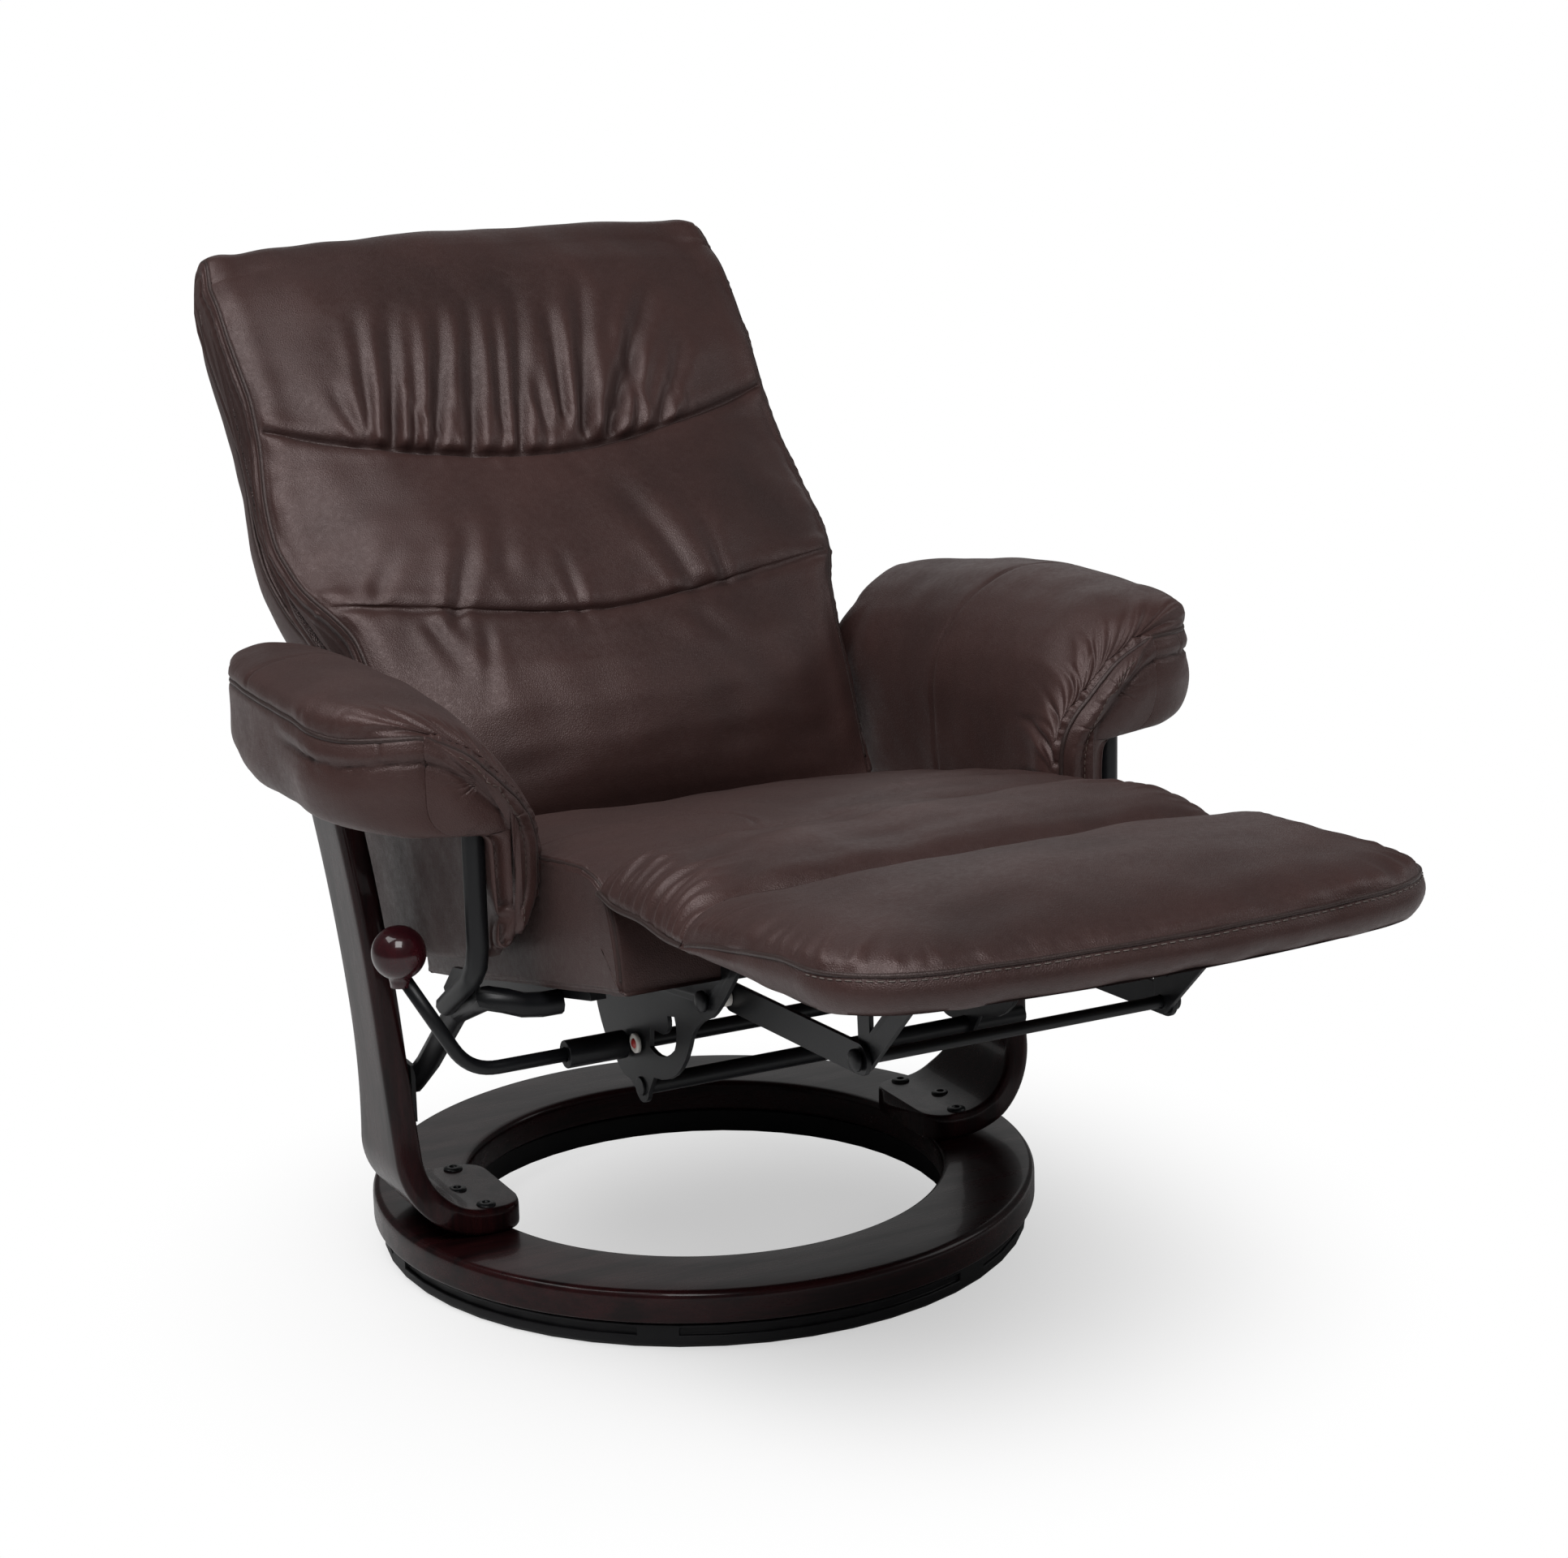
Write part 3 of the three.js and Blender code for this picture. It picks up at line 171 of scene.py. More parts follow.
links.new(blend_to_white.outputs[0], floor_mix.inputs[0])
links.new(principled.outputs[0], floor_mix.inputs[1])
links.new(glow.outputs[0], floor_mix.inputs[2])
links.new(floor_mix.outputs[0], nodes["Material Output"].inputs["Surface"])
floor.data.materials.append(floor_material)

# ---------------------------------------------------------------- floor ring
# A moulded black ring with six long recesses round its wall. It stands on the floor and carries the swivel
# bearing on its top face. Moulded plastic, dull, with a fine spark-eroded texture.


def effect(name, inputs, outputs):
    """An empty shader node group: (name, kind, value) for each input and (name, kind) for each output."""
    group = bpy.data.node_groups.new(name, "ShaderNodeTree")
    for label, kind, value in inputs:
        socket = group.interface.new_socket(name=label, in_out="INPUT", socket_type="NodeSocket" + kind)
        socket.default_value = value
    for label, kind in outputs:
        group.interface.new_socket(name=label, in_out="OUTPUT", socket_type="NodeSocket" + kind)
    return group, group.nodes.new("NodeGroupInput"), group.nodes.new("NodeGroupOutput")


def noise_in(group, vector, scale, detail=3.0, roughness=0.5):
    """A noise texture inside a node tree, read at a scaled vector."""
    node = group.nodes.new("ShaderNodeTexNoise")
    node.inputs["Scale"].default_value = scale
    node.inputs["Detail"].default_value = detail
    node.inputs["Roughness"].default_value = roughness
    group.links.new(vector, node.inputs["Vector"])
    return node


def spread(group, value, low, high, start=0.0, end=1.0):
    """Maps a value from start..end to low..high, and clamps it."""
    node = group.nodes.new("ShaderNodeMapRange")
    node.inputs["From Min"].default_value = start
    node.inputs["From Max"].default_value = end
    node.inputs["To Min"].default_value = low
    node.inputs["To Max"].default_value = high
    group.links.new(value, node.inputs["Value"])
    return node.outputs["Result"]


def combine(group, operation, first, second):
    """A math node on two sockets or numbers."""
    node = group.nodes.new("ShaderNodeMath")
    node.operation = operation
    for socket, value in zip(node.inputs, (first, second)):
        if isinstance(value, (int, float)):
            socket.default_value = value
        else:
            group.links.new(value, socket)
    return node.outputs[0]


def tint(group, mask, first, second):
    """A colour mixed between two colours by a mask."""
    node = group.nodes.new("ShaderNodeMix")
    node.data_type = "RGBA"
    group.links.new(mask, node.inputs["Factor"])
    for socket, value in ((node.inputs["A"], first), (node.inputs["B"], second)):
        if isinstance(value, tuple):
            socket.default_value = value
        else:
            group.links.new(value, socket)
    return node.outputs["Result"]


coat, given, put = effect(
    "powder_finish",
    [("Vector", "Vector", (0, 0, 0)), ("Dark", "Color", (0, 0, 0, 1)), ("Light", "Color", (0, 0, 0, 1)),
     ("Grain", "Float", 900.0), ("Low", "Float", 0.35), ("High", "Float", 0.5)],
    [("Color", "Color"), ("Roughness", "Float"), ("Height", "Float")])
fine = coat.nodes.new("ShaderNodeTexNoise")
coat.links.new(given.outputs["Vector"], fine.inputs["Vector"])
coat.links.new(given.outputs["Grain"], fine.inputs["Scale"])
broad = noise_in(coat, given.outputs["Vector"], 9, 4)
mask = spread(coat, broad.outputs["Fac"], 0, 1, 0.35, 0.7)
coat.links.new(tint(coat, mask, given.outputs["Dark"], given.outputs["Light"]), put.inputs["Color"])
rough = coat.nodes.new("ShaderNodeMapRange")
coat.links.new(fine.outputs["Fac"], rough.inputs["Value"])
coat.links.new(given.outputs["Low"], rough.inputs["To Min"])
coat.links.new(given.outputs["High"], rough.inputs["To Max"])
coat.links.new(rough.outputs["Result"], put.inputs["Roughness"])
coat.links.new(fine.outputs["Fac"], put.inputs["Height"])


def bumped(nodes, links, principled, height, depth):
    """Feeds a height of 0 to 1, times a depth in metres, to the shader's normal."""
    bump = nodes.new("ShaderNodeBump")
    bump.inputs["Strength"].default_value = 1.0
    bump.inputs["Distance"].default_value = depth
    links.new(height, bump.inputs["Height"])
    links.new(bump.outputs["Normal"], principled.inputs["Normal"])


def powder_coated(name, dark, light, grain, low, high, depth, metallic=0.0, gleam=0.5):
    """A coated or moulded finish with a fine even texture."""
    material, nodes, links, principled = shader(name)
    place = nodes.new("ShaderNodeTexCoord")
    finish = nodes.new("ShaderNodeGroup")
    finish.node_tree = coat
    finish.inputs["Dark"].default_value = (*dark, 1)
    finish.inputs["Light"].default_value = (*light, 1)
    finish.inputs["Grain"].default_value = grain
    finish.inputs["Low"].default_value = low
    finish.inputs["High"].default_value = high
    links.new(place.outputs["Object"], finish.inputs["Vector"])
    links.new(finish.outputs["Color"], principled.inputs["Base Color"])
    links.new(finish.outputs["Roughness"], principled.inputs["Roughness"])
    principled.inputs["Metallic"].default_value = metallic
    principled.inputs["Specular IOR Level"].default_value = gleam
    bumped(nodes, links, principled, finish.outputs["Height"], depth)
    return material


def placed(name, mesh, material, body, replaces=()):
    """The smooth object of a mesh, with its material, its body and the CAD nodes it stands for. Without a
    body, it is left unattached."""
    mesh.polygons.foreach_set("use_smooth", np.ones(len(mesh.polygons), bool))
    mesh.materials.clear()
    mesh.materials.append(material)
    piece = bpy.data.objects.new(name, mesh)
    bpy.context.scene.collection.objects.link(piece)
    if body:
        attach(piece, body)
    if replaces:
        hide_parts(*replaces)
    return piece


def finished_copy(node, material, edge=0.0006, smooth=38):
    """Stands for a rigid CAD node: its mesh with doubles merged, flat faces joined and sharp edges eased."""
    mesh = frame["nodes"][node].data.copy()
    solid = bmesh.new()
    solid.from_mesh(mesh)
    bmesh.ops.remove_doubles(solid, verts=solid.verts, dist=2e-5)
    bmesh.ops.dissolve_limit(solid, angle_limit=np.radians(1), verts=solid.verts, edges=solid.edges)
    solid.to_mesh(mesh)
    solid.free()
    piece = placed(node + "_finished", mesh, material, frame["nodes"][node]["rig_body"], [node])
    mesh.set_sharp_from_angle(angle=np.radians(smooth))
    if edge:
        ease = piece.modifiers.new("eased_edges", "BEVEL")
        ease.width = edge
        ease.segments = 2
        ease.limit_method = "ANGLE"
        ease.angle_limit = np.radians(smooth)


moulded = powder_coated("moulded_black", (0.005, 0.005, 0.006), (0.009, 0.009, 0.010), 1400, 0.42, 0.58,
                        0.00004, gleam=0.2)
finished_copy("floor_ring", moulded, 0.001)

# ---------------------------------------------------------------- swivel bearing
# Two pressed steel washers with a ball groove each, and a cage of steel balls between them. Bright plated
# steel.
plated = powder_coated("plated_steel", (0.42, 0.43, 0.44), (0.55, 0.55, 0.56), 300, 0.22, 0.38, 0.00002, 1.0)
for node in ("bearing_lower_race", "bearing_ball_cage", "bearing_upper_race"):
    finished_copy(node, plated, 0)

# ---------------------------------------------------------------- wooden ring
# Laminated beech, turned with rounded upper edges, stained dark red-brown and sprayed with gloss lacquer. The
# bearing sits in a groove in its underside.


def rounded(corners, radii, bend=5, run=4):
    """Closed loops through corner points, with each corner replaced by a curve of its radius: point c
    becomes the quadratic curve from c towards its left neighbour by the radius, to c towards its right
    neighbour. corners is (..., n, 2) and radii (..., n); each corner gives bend points and each straight
    stretch run points."""
    corners = np.asarray(corners, float)
    radii = np.broadcast_to(np.asarray(radii, float), corners.shape[:-1])[..., None]
    before = np.roll(corners, 1, -2) - corners
    after = np.roll(corners, -1, -2) - corners
    first = corners + before / np.linalg.norm(before, axis=-1, keepdims=True) * radii
    last = corners + after / np.linalg.norm(after, axis=-1, keepdims=True) * radii
    first, last, middle = first[..., None, :], last[..., None, :], corners[..., None, :]
    t = np.linspace(0, 1, bend)[:, None]
    arcs = (1 - t) ** 2 * first + 2 * t * (1 - t) * middle + t ** 2 * last
    u = np.linspace(0, 1, run + 2)[1:-1, None]
    straights = (1 - u) * last + u * np.roll(first, -1, -3)
    loops = np.concatenate([arcs, straights], -2)
    return loops.reshape(*loops.shape[:-3], -1, 2)


def skin(name, rows, material, body, replaces=(), closed=False, fold=None):
    """A closed mesh from rows of rings, (rows, ring, 3): quads join neighbouring rings. The last row joins
    the first where closed, and otherwise one face fills each end. It is turned inside out if its volume is
    negative. fold, the height of the wrinkles, is kept on the mesh for the leather, whose colour paints shade
    into the folds and highlight onto their crests from it."""
    count, ring = rows.shape[:2]
    starts = (np.arange(count if closed else count - 1) * ring)[:, None]
    low = starts + np.arange(ring)
    low_next = starts + (np.arange(ring) + 1) % ring
    quads = np.stack([low, low_next, low_next + ring, low + ring], -1).reshape(-1, 4) % (count * ring)
    faces = quads.tolist()
    if not closed:
        faces.append(list(range(ring))[::-1])
        faces.append(list(range((count - 1) * ring, count * ring)))
    points = rows.reshape(-1, 3)
    mesh = bpy.data.meshes.new(name)
    mesh.from_pydata(points.tolist(), [], faces)
    a, b, c, d = (points[quads[:, i]] for i in range(4))
    centre = points.mean(0)
    volume = np.einsum("ij,ij->", a - centre, np.cross(b - centre, c - centre))
    volume += np.einsum("ij,ij->", a - centre, np.cross(c - centre, d - centre))
    if volume < 0:
        mesh.flip_normals()
    if fold is not None:
        kept = mesh.attributes.new("fold", "FLOAT", "POINT")
        kept.data.foreach_set("value", fold.reshape(-1).astype(np.float32))
    return placed(name, mesh, material, body, replaces)


grained, given, put = effect(
    "lacquered_grain",
    [("Vector", "Vector", (0, 0, 0)), ("Dark", "Color", (0, 0, 0, 1)), ("Light", "Color", (0, 0, 0, 1)),
     ("Pores", "Float", 60.0)],
    [("Color", "Color"), ("Roughness", "Float"), ("Height", "Float")])
streaks = noise_in(grained, given.outputs["Vector"], 5, 8, 0.62)
pores = grained.nodes.new("ShaderNodeTexNoise")
grained.links.new(given.outputs["Vector"], pores.inputs["Vector"])
grained.links.new(given.outputs["Pores"], pores.inputs["Scale"])
bands = combine(grained, "ADD", streaks.outputs["Fac"], spread(grained, pores.outputs["Fac"], -0.12, 0.12))
grain_mask = spread(grained, bands, 0, 1, 0.36, 0.66)
tinted = tint(grained, grain_mask, given.outputs["Dark"], given.outputs["Light"])
grained.links.new(tinted, put.inputs["Color"])
grained.links.new(spread(grained, bands, 0.34, 0.24, 0.3, 0.7), put.inputs["Roughness"])
grained.links.new(pores.outputs["Fac"], put.inputs["Height"])


def lacquered(name, stretch):
    """Stained wood under gloss lacquer. stretch scales the grain along X, Y and Z: small along the grain."""
    material, nodes, links, principled = shader(name)
    place = nodes.new("ShaderNodeTexCoord")
    lay = nodes.new("ShaderNodeMapping")
    lay.inputs["Scale"].default_value = stretch
    finish = nodes.new("ShaderNodeGroup")
    finish.node_tree = grained
    finish.inputs["Dark"].default_value = (0.0055, 0.0016, 0.0019, 1)
    finish.inputs["Light"].default_value = (0.022, 0.0048, 0.0054, 1)
    finish.inputs["Pores"].default_value = 46
    links.new(place.outputs["Object"], lay.inputs["Vector"])
    links.new(lay.outputs["Vector"], finish.inputs["Vector"])
    links.new(finish.outputs["Color"], principled.inputs["Base Color"])
    links.new(finish.outputs["Roughness"], principled.inputs["Roughness"])
    principled.inputs["Specular IOR Level"].default_value = 0.12
    principled.inputs["Coat Weight"].default_value = 0.16
    principled.inputs["Coat Roughness"].default_value = 0.07
    bumped(nodes, links, principled, finish.outputs["Height"], 0.00005)
    return material


ring_low, ring_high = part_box("wood_ring")
ring_centre = (ring_low + ring_high) / 2
ring_outer = (ring_high.x - ring_low.x) / 2
ring_bore = ring_outer - 0.085
groove_low, groove_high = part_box("bearing_upper_race")
groove_outer = (groove_high.x - groove_low.x) / 2 + 0.001
groove_inner = groove_outer - 0.022
ring_section = rounded(
    [(ring_bore, ring_low.z), (groove_inner, ring_low.z), (groove_inner, groove_high.z + 0.0004),
     (groove_outer, groove_high.z + 0.0004), (groove_outer, ring_low.z), (ring_outer, ring_low.z),
     (ring_outer, ring_high.z), (ring_bore, ring_high.z)],
    [0.003, 0.0003, 0.0003, 0.0003, 0.0003, 0.003, 0.0075, 0.0075], 7, 3)
around = np.linspace(0, 2 * np.pi, 160, endpoint=False)[:, None]
ring_rows = np.stack([
    ring_centre.x + ring_section[:, 0] * np.cos(around), ring_centre.y + ring_section[:, 0] * np.sin(around),
    np.broadcast_to(ring_section[:, 1], (160, len(ring_section)))], -1)
ring_lacquer = lacquered("lacquered_ring", (1.2, 9, 14))
skin("wooden_ring", ring_rows, ring_lacquer, "swivel_frame", ["wood_ring"], closed=True)

# ---------------------------------------------------------------- bent uprights
# Two strips of beech ply, 24 mm thick, pressed round an 80 mm bend: a broad flat foot on the ring, and a
# leg that leans out and narrows to the arm. All edges are rounded, and the lacquer is the ring's.
PLY = 0.024
BEND = 0.080
FOOT_TIP_X = 0.205
FOOT_TIP_R = 0.024
UPRIGHT_X = 0.318


def curve(points, t):
    """Points of a Bezier curve of any order, by repeated mixing of neighbouring control points."""
    level = [np.asarray(p, float) for p in points]
    t = np.asarray(t, float)[..., None]
    while len(level) > 1:
        level = [(1 - t) * a + t * b for a, b in zip(level, level[1:])]
    return level[0]


def upright(side, node):
    """A rounded-edge strip: a cross-section PLY thick, carried along foot, bend and leg, whose width along Y
    follows the foot's outline and then tapers. The foot's tip is rounded in plan."""
    low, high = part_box(node)
    half = PLY / 2
    floor_z = low.z + half
    centre_r = BEND - half
    bend_z = floor_z + centre_r
    top_x = max(abs(low.x), abs(high.x)) - half
    wall_x = UPRIGHT_X - half
    foot = np.stack([np.linspace(FOOT_TIP_X, wall_x - centre_r, 34), np.full(34, floor_z)], -1)
    swing = np.linspace(-np.pi / 2, 0, 22)[1:]
    bend_run = np.stack([wall_x - centre_r + centre_r * np.cos(swing), bend_z + centre_r * np.sin(swing)], -1)
    knee = (wall_x + (top_x - wall_x) * 0.18, (bend_z + high.z) / 2)
    leg = curve([(wall_x, bend_z), knee, (top_x, high.z)], np.linspace(0, 1, 60)[1:])
    line = np.concatenate([foot, bend_run, leg])
    ahead = np.gradient(line, axis=0)
    ahead /= np.linalg.norm(ahead, axis=1, keepdims=True)
    across = np.stack([-ahead[:, 1], ahead[:, 0]], -1)
    climb = np.clip((line[:, 1] - floor_z - half) / (knee[1] - 0.06 - floor_z), 0, 1)
    front = low.y + (0.028 - 0.004 * climb) * (1 - (1 - climb) ** 2)
    rear = high.y - 0.029 * (1 - (1 - climb) ** 2)
    tip = np.clip(FOOT_TIP_R - (line[:, 0] - FOOT_TIP_X), 0, FOOT_TIP_R) * (line[:, 1] < floor_z + 1e-4)
    nip = FOOT_TIP_R - np.sqrt(FOOT_TIP_R ** 2 - tip ** 2 * 0.985)
    front, rear = front + nip, rear - nip
    faces = [(-half, front), (half, front), (half, rear), (-half, rear)]
    corners = np.stack([np.stack([np.full(len(line), off), y], -1) for off, y in faces], 1)
    section = rounded(corners, 0.0065, 6, 6)
    rows = np.stack([
        side * (line[:, None, 0] + section[..., 0] * across[:, None, 0]), section[..., 1],
        line[:, None, 1] + section[..., 0] * across[:, None, 1]], -1)
    name = ("left" if side > 0 else "right") + "_bent_upright"
    skin(name, rows, ply_lacquer, "swivel_frame", [node])


ply_lacquer = lacquered("lacquered_ply", (14, 9, 1.2))
for side, word in ((1, "left"), (-1, "right")):
    upright(side, word + "_upright")

# ---------------------------------------------------------------- foot bolts
# Three pan-head bolts with a hex socket hold each foot down on the ring. Blackened steel.
black_steel = powder_coated("satin_black_steel", (0.0035, 0.0038, 0.0046), (0.0065, 0.007, 0.0085), 1100, 0.3,
                            0.46, 0.00003, 0.1, 0.3)


def turned(name, profile, place, material, slot, body, replaces=(), count=28, axis=2):
    """A solid of revolution: a profile of (radius, height) points turned about an axis through a place."""
    profile = np.asarray(profile, float)
    angle = np.linspace(0, 2 * np.pi, count, endpoint=False)
    rows = np.empty((len(profile), count, 3))
    first, second = [i for i in range(3) if i != axis]
    rows[..., first] = place[first] + profile[:, :1] * np.cos(angle)
    rows[..., second] = place[second] + profile[:, :1] * np.sin(angle)
    rows[..., axis] = place[axis] + profile[:, 1:]
    return skin(name, rows, material, body, replaces)


for word in ("left", "right"):
    for number in (1, 2, 3):
        node = f"{word}_foot_bolt_{number}"
        low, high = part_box(node)
        centre = (low + high) / 2
        r = (high.x - low.x) / 2 + 0.0012
        head = [(0.0035, -0.006), (r, -0.006), (r, 0.0006), (r * 0.93, 0.0016), (r * 0.7, 0.0025),
                (0.0038, 0.0028), (0.0034, 0.0026), (0.0033, 0.0006)]
        turned(node + "_head", head, (centre.x, centre.y, high.z), black_steel, "black_steel", "swivel_frame",
               [node])

# ---------------------------------------------------------------- steel frame and mechanism
# Brackets, slide rails, runners, side plates, links, stays and rods, cut from strip and tube, welded, and
# coated satin black after welding.
STEEL = ["slide_rail", "side_bracket", "seat_runner", "mechanism_plate", "back_hinge_plate", "back_side_rail",
         "footrest_arm", "main_link", "stay"]
for kind in STEEL:
    for word in ("left", "right"):
        finished_copy(f"{word}_{kind}", black_steel, 0.0005)
for node in ("rear_cross_tube", "low_cross_tube", "link_cross_rod", "lever_shaft"):
    finished_copy(node, black_steel, 0.0005)

# ---------------------------------------------------------------- bare wood inside the upholstery
# Arm boards, rear seat rail, back cross rails and the footrest's board: sawn softwood and ply, not finished.
bare = powder_coated("sawn_wood", (0.42, 0.29, 0.16), (0.55, 0.40, 0.24), 180, 0.6, 0.78, 0.0002)
for node in ("seat_rear_rail", "back_bottom_rail", "back_top_rail", "footrest_board"):
    finished_copy(node, bare, 0.0008)

# ---------------------------------------------------------------- seat webbing
# Elastic webbing stapled across the seat rails, black, woven over and under.
web_material, nodes, links, principled = shader("woven_webbing")
place = nodes.new("ShaderNodeTexCoord")
weave = nodes.new("ShaderNodeTexChecker")
weave.inputs["Scale"].default_value = 260
weave.inputs["Color1"].default_value = (0.012, 0.012, 0.013, 1)
weave.inputs["Color2"].default_value = (0.03, 0.03, 0.032, 1)
links.new(place.outputs["Object"], weave.inputs["Vector"])
links.new(weave.outputs["Color"], principled.inputs["Base Color"])
principled.inputs["Roughness"].default_value = 0.85
bumped(nodes, links, principled, weave.outputs["Fac"], 0.0003)
finished_copy("seat_webbing", web_material, 0.0008)

# ---------------------------------------------------------------- link rollers
# Natural nylon spacer rollers that turn on the main links' studs.
nylon = powder_coated("natural_nylon", (0.62, 0.60, 0.55), (0.70, 0.68, 0.64), 500, 0.32, 0.45, 0.00004)
for word in ("left", "right"):
    finished_copy(f"{word}_link_roller", nylon, 0.0006, 45)

# ---------------------------------------------------------------- release lever
# A 12 mm steel rod, bent up beside the seat, in a socket on the lock's shaft. Its knob is turned beech,
# stained cherry and lacquered.


def swept(name, path, radius, material, body, replaces=(), sides=20):
    """A round bar along a smooth path: each ring lies across the path, in a frame carried on without
    twist."""
    path = np.asarray(path, float)
    radius = np.broadcast_to(np.asarray(radius, float), (len(path),))
    ahead = np.gradient(path, axis=0)
    ahead /= np.linalg.norm(ahead, axis=1, keepdims=True)
    start = np.cross(ahead[0], [0.31, 0.73, 0.61])
    normals = [start / np.linalg.norm(start)]
    for step in ahead[1:]:
        kept = normals[-1] - step * (normals[-1] @ step)
        normals.append(kept / np.linalg.norm(kept))
    first = np.array(normals)
    second = np.cross(ahead, first)
    angle = np.linspace(0, 2 * np.pi, sides, endpoint=False)
    rows = path[:, None] + radius[:, None, None] * (
        first[:, None] * np.cos(angle)[None, :, None] + second[:, None] * np.sin(angle)[None, :, None])
    return skin(name, rows, material, body, replaces)


def bent(corners, bend, steps=10):
    """A path of straight runs joined by quadratic bends: the corner point is left out by the bend length."""
    corners = np.asarray(corners, float)
    runs = [corners[:1]]
    for before, at, after in zip(corners, corners[1:], corners[2:]):
        start = at + (before - at) / np.linalg.norm(before - at) * bend
        end = at + (after - at) / np.linalg.norm(after - at) * bend
        runs.append(curve([start, at, end], np.linspace(0, 1, steps)))
    runs.append(corners[-1:])
    return np.concatenate(runs)


ROD_R = 0.006
KNOB_R = 0.0225
joint_at = {joint["name"]: np.array(joint["pos_m"]) for joint in frame["joints"] if "pos_m" in joint}
shaft = joint_at["lever_pull"]
knob_low, knob_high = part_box("lever_knob")
knob_centre = np.array((knob_low + knob_high) / 2)
socket_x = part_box("lever_shaft")[0].x
rod_path = bent([
    (socket_x + 0.025, shaft[1], shaft[2]), (-0.300, shaft[1], shaft[2]),
    (knob_centre[0] + 0.004, shaft[1] + 0.004, knob_centre[2] - 0.018)], 0.026)
swept("release_rod", rod_path, ROD_R, black_steel, "release_lever", ["lever_rod"])
bulge = np.linspace(-1.12, np.pi / 2 - 0.02, 26)
knob_profile = [(0.004, -0.0285), (0.0082, -0.0285), (0.0088, -0.0235)]
knob_profile += [(KNOB_R * np.cos(a), KNOB_R * np.sin(a)) for a in bulge]
cherry = lacquered("lacquered_knob", (9, 9, 5))
cherry_nodes = cherry.node_tree.nodes
cherry_nodes["Principled BSDF"].inputs["Coat Weight"].default_value = 0.6
cherry_nodes["Group"].inputs["Dark"].default_value = (0.016, 0.0025, 0.004, 1)
cherry_nodes["Group"].inputs["Light"].default_value = (0.034, 0.0045, 0.007, 1)
turned("release_knob", knob_profile, knob_centre + np.array([0.002, 0, 0.003]), cherry, "wood",
       "release_lever", ["lever_knob"], 40)

# ---------------------------------------------------------------- padded arms
# Each arm is one leather cover over foam: a soft top that rolls over and hangs down beside the seat as a
# padded side, and an outer and front panel joined to it by a welted seam, with a second line of stitching
# 20 mm inside. The top is gathered along the front seam. Top-grain leather, dark brown, 1.2 mm, with a soft
# sheen.
hide, given, put = effect(
    "grained_hide",
    [("Vector", "Vector", (0, 0, 0)), ("Dark", "Color", (0, 0, 0, 1)), ("Light", "Color", (0, 0, 0, 1)),
     ("Fold", "Float", 0.0), ("Pebble", "Float", 520.0)],
    [("Color", "Color"), ("Roughness", "Float"), ("Height", "Float")])
pebble = hide.nodes.new("ShaderNodeTexVoronoi")
pebble.feature = "DISTANCE_TO_EDGE"
hide.links.new(given.outputs["Vector"], pebble.inputs["Vector"])
hide.links.new(given.outputs["Pebble"], pebble.inputs["Scale"])
cloudy = noise_in(hide, given.outputs["Vector"], 4.5, 5, 0.55)
mottle = noise_in(hide, given.outputs["Vector"], 60, 4, 0.6)
creases = noise_in(hide, given.outputs["Vector"], 170, 3, 0.7)
# painted shade: the fold height darkens the colour in the folds' valleys and lightens it on their crests, as
# light falling on them would; the same mask also makes the crests a little glossier
painted_fold_shade = spread(hide, given.outputs["Fold"], -0.5, 0.5, -0.005, 0.005)
# the tone mask: the cloudy dye and the mottle are the leather's own, and the fold term is painted shade and
# highlight
shade = combine(hide, "ADD", spread(hide, cloudy.outputs["Fac"], -0.45, 0.45, 0.3, 0.7), painted_fold_shade)
shade = combine(hide, "ADD", shade, spread(hide, mottle.outputs["Fac"], -0.12, 0.12, 0.3, 0.7))
shade = spread(hide, shade, 0, 1, -0.7, 0.7)
hide.links.new(tint(hide, shade, given.outputs["Dark"], given.outputs["Light"]), put.inputs["Color"])
worn = combine(hide, "SUBTRACT", spread(hide, creases.outputs["Fac"], 0.40, 0.54, 0.3, 0.7),
               spread(hide, painted_fold_shade, -0.02, 0.04, -0.5, 0.5))
hide.links.new(worn, put.inputs["Roughness"])
pits = spread(hide, pebble.outputs["Distance"], 0, 1, 0.0, 0.35)
fine_creases = spread(hide, creases.outputs["Fac"], -0.5, 0.5)
hide.links.new(combine(hide, "ADD", pits, fine_creases), put.inputs["Height"])


def leather(name, dark, light, pebbles):
    """Semi-aniline leather: fine pebbled grain, cloudy dye, painted shade that darkens the folds and lightens
    their crests, and a soft waxy sheen."""
    material, nodes, links, principled = shader(name)
    place = nodes.new("ShaderNodeTexCoord")
    fold = nodes.new("ShaderNodeAttribute")
    fold.attribute_name = "fold"
    finish = nodes.new("ShaderNodeGroup")
    finish.node_tree = hide
    finish.inputs["Dark"].default_value = (*dark, 1)
    finish.inputs["Light"].default_value = (*light, 1)
    finish.inputs["Pebble"].default_value = pebbles
    links.new(place.outputs["Object"], finish.inputs["Vector"])
    links.new(fold.outputs["Fac"], finish.inputs["Fold"])
    links.new(finish.outputs["Color"], principled.inputs["Base Color"])
    links.new(finish.outputs["Roughness"], principled.inputs["Roughness"])
    principled.inputs["Specular IOR Level"].default_value = 0.5
    principled.inputs["Specular Tint"].default_value = (1.0, 0.84, 0.83, 1)
    principled.inputs["Sheen Weight"].default_value = 0.07
    principled.inputs["Sheen Tint"].default_value = (1.0, 0.80, 0.78, 1)
    principled.inputs["Sheen Roughness"].default_value = 0.4
    bumped(nodes, links, principled, finish.outputs["Height"], 0.00012)
    return material


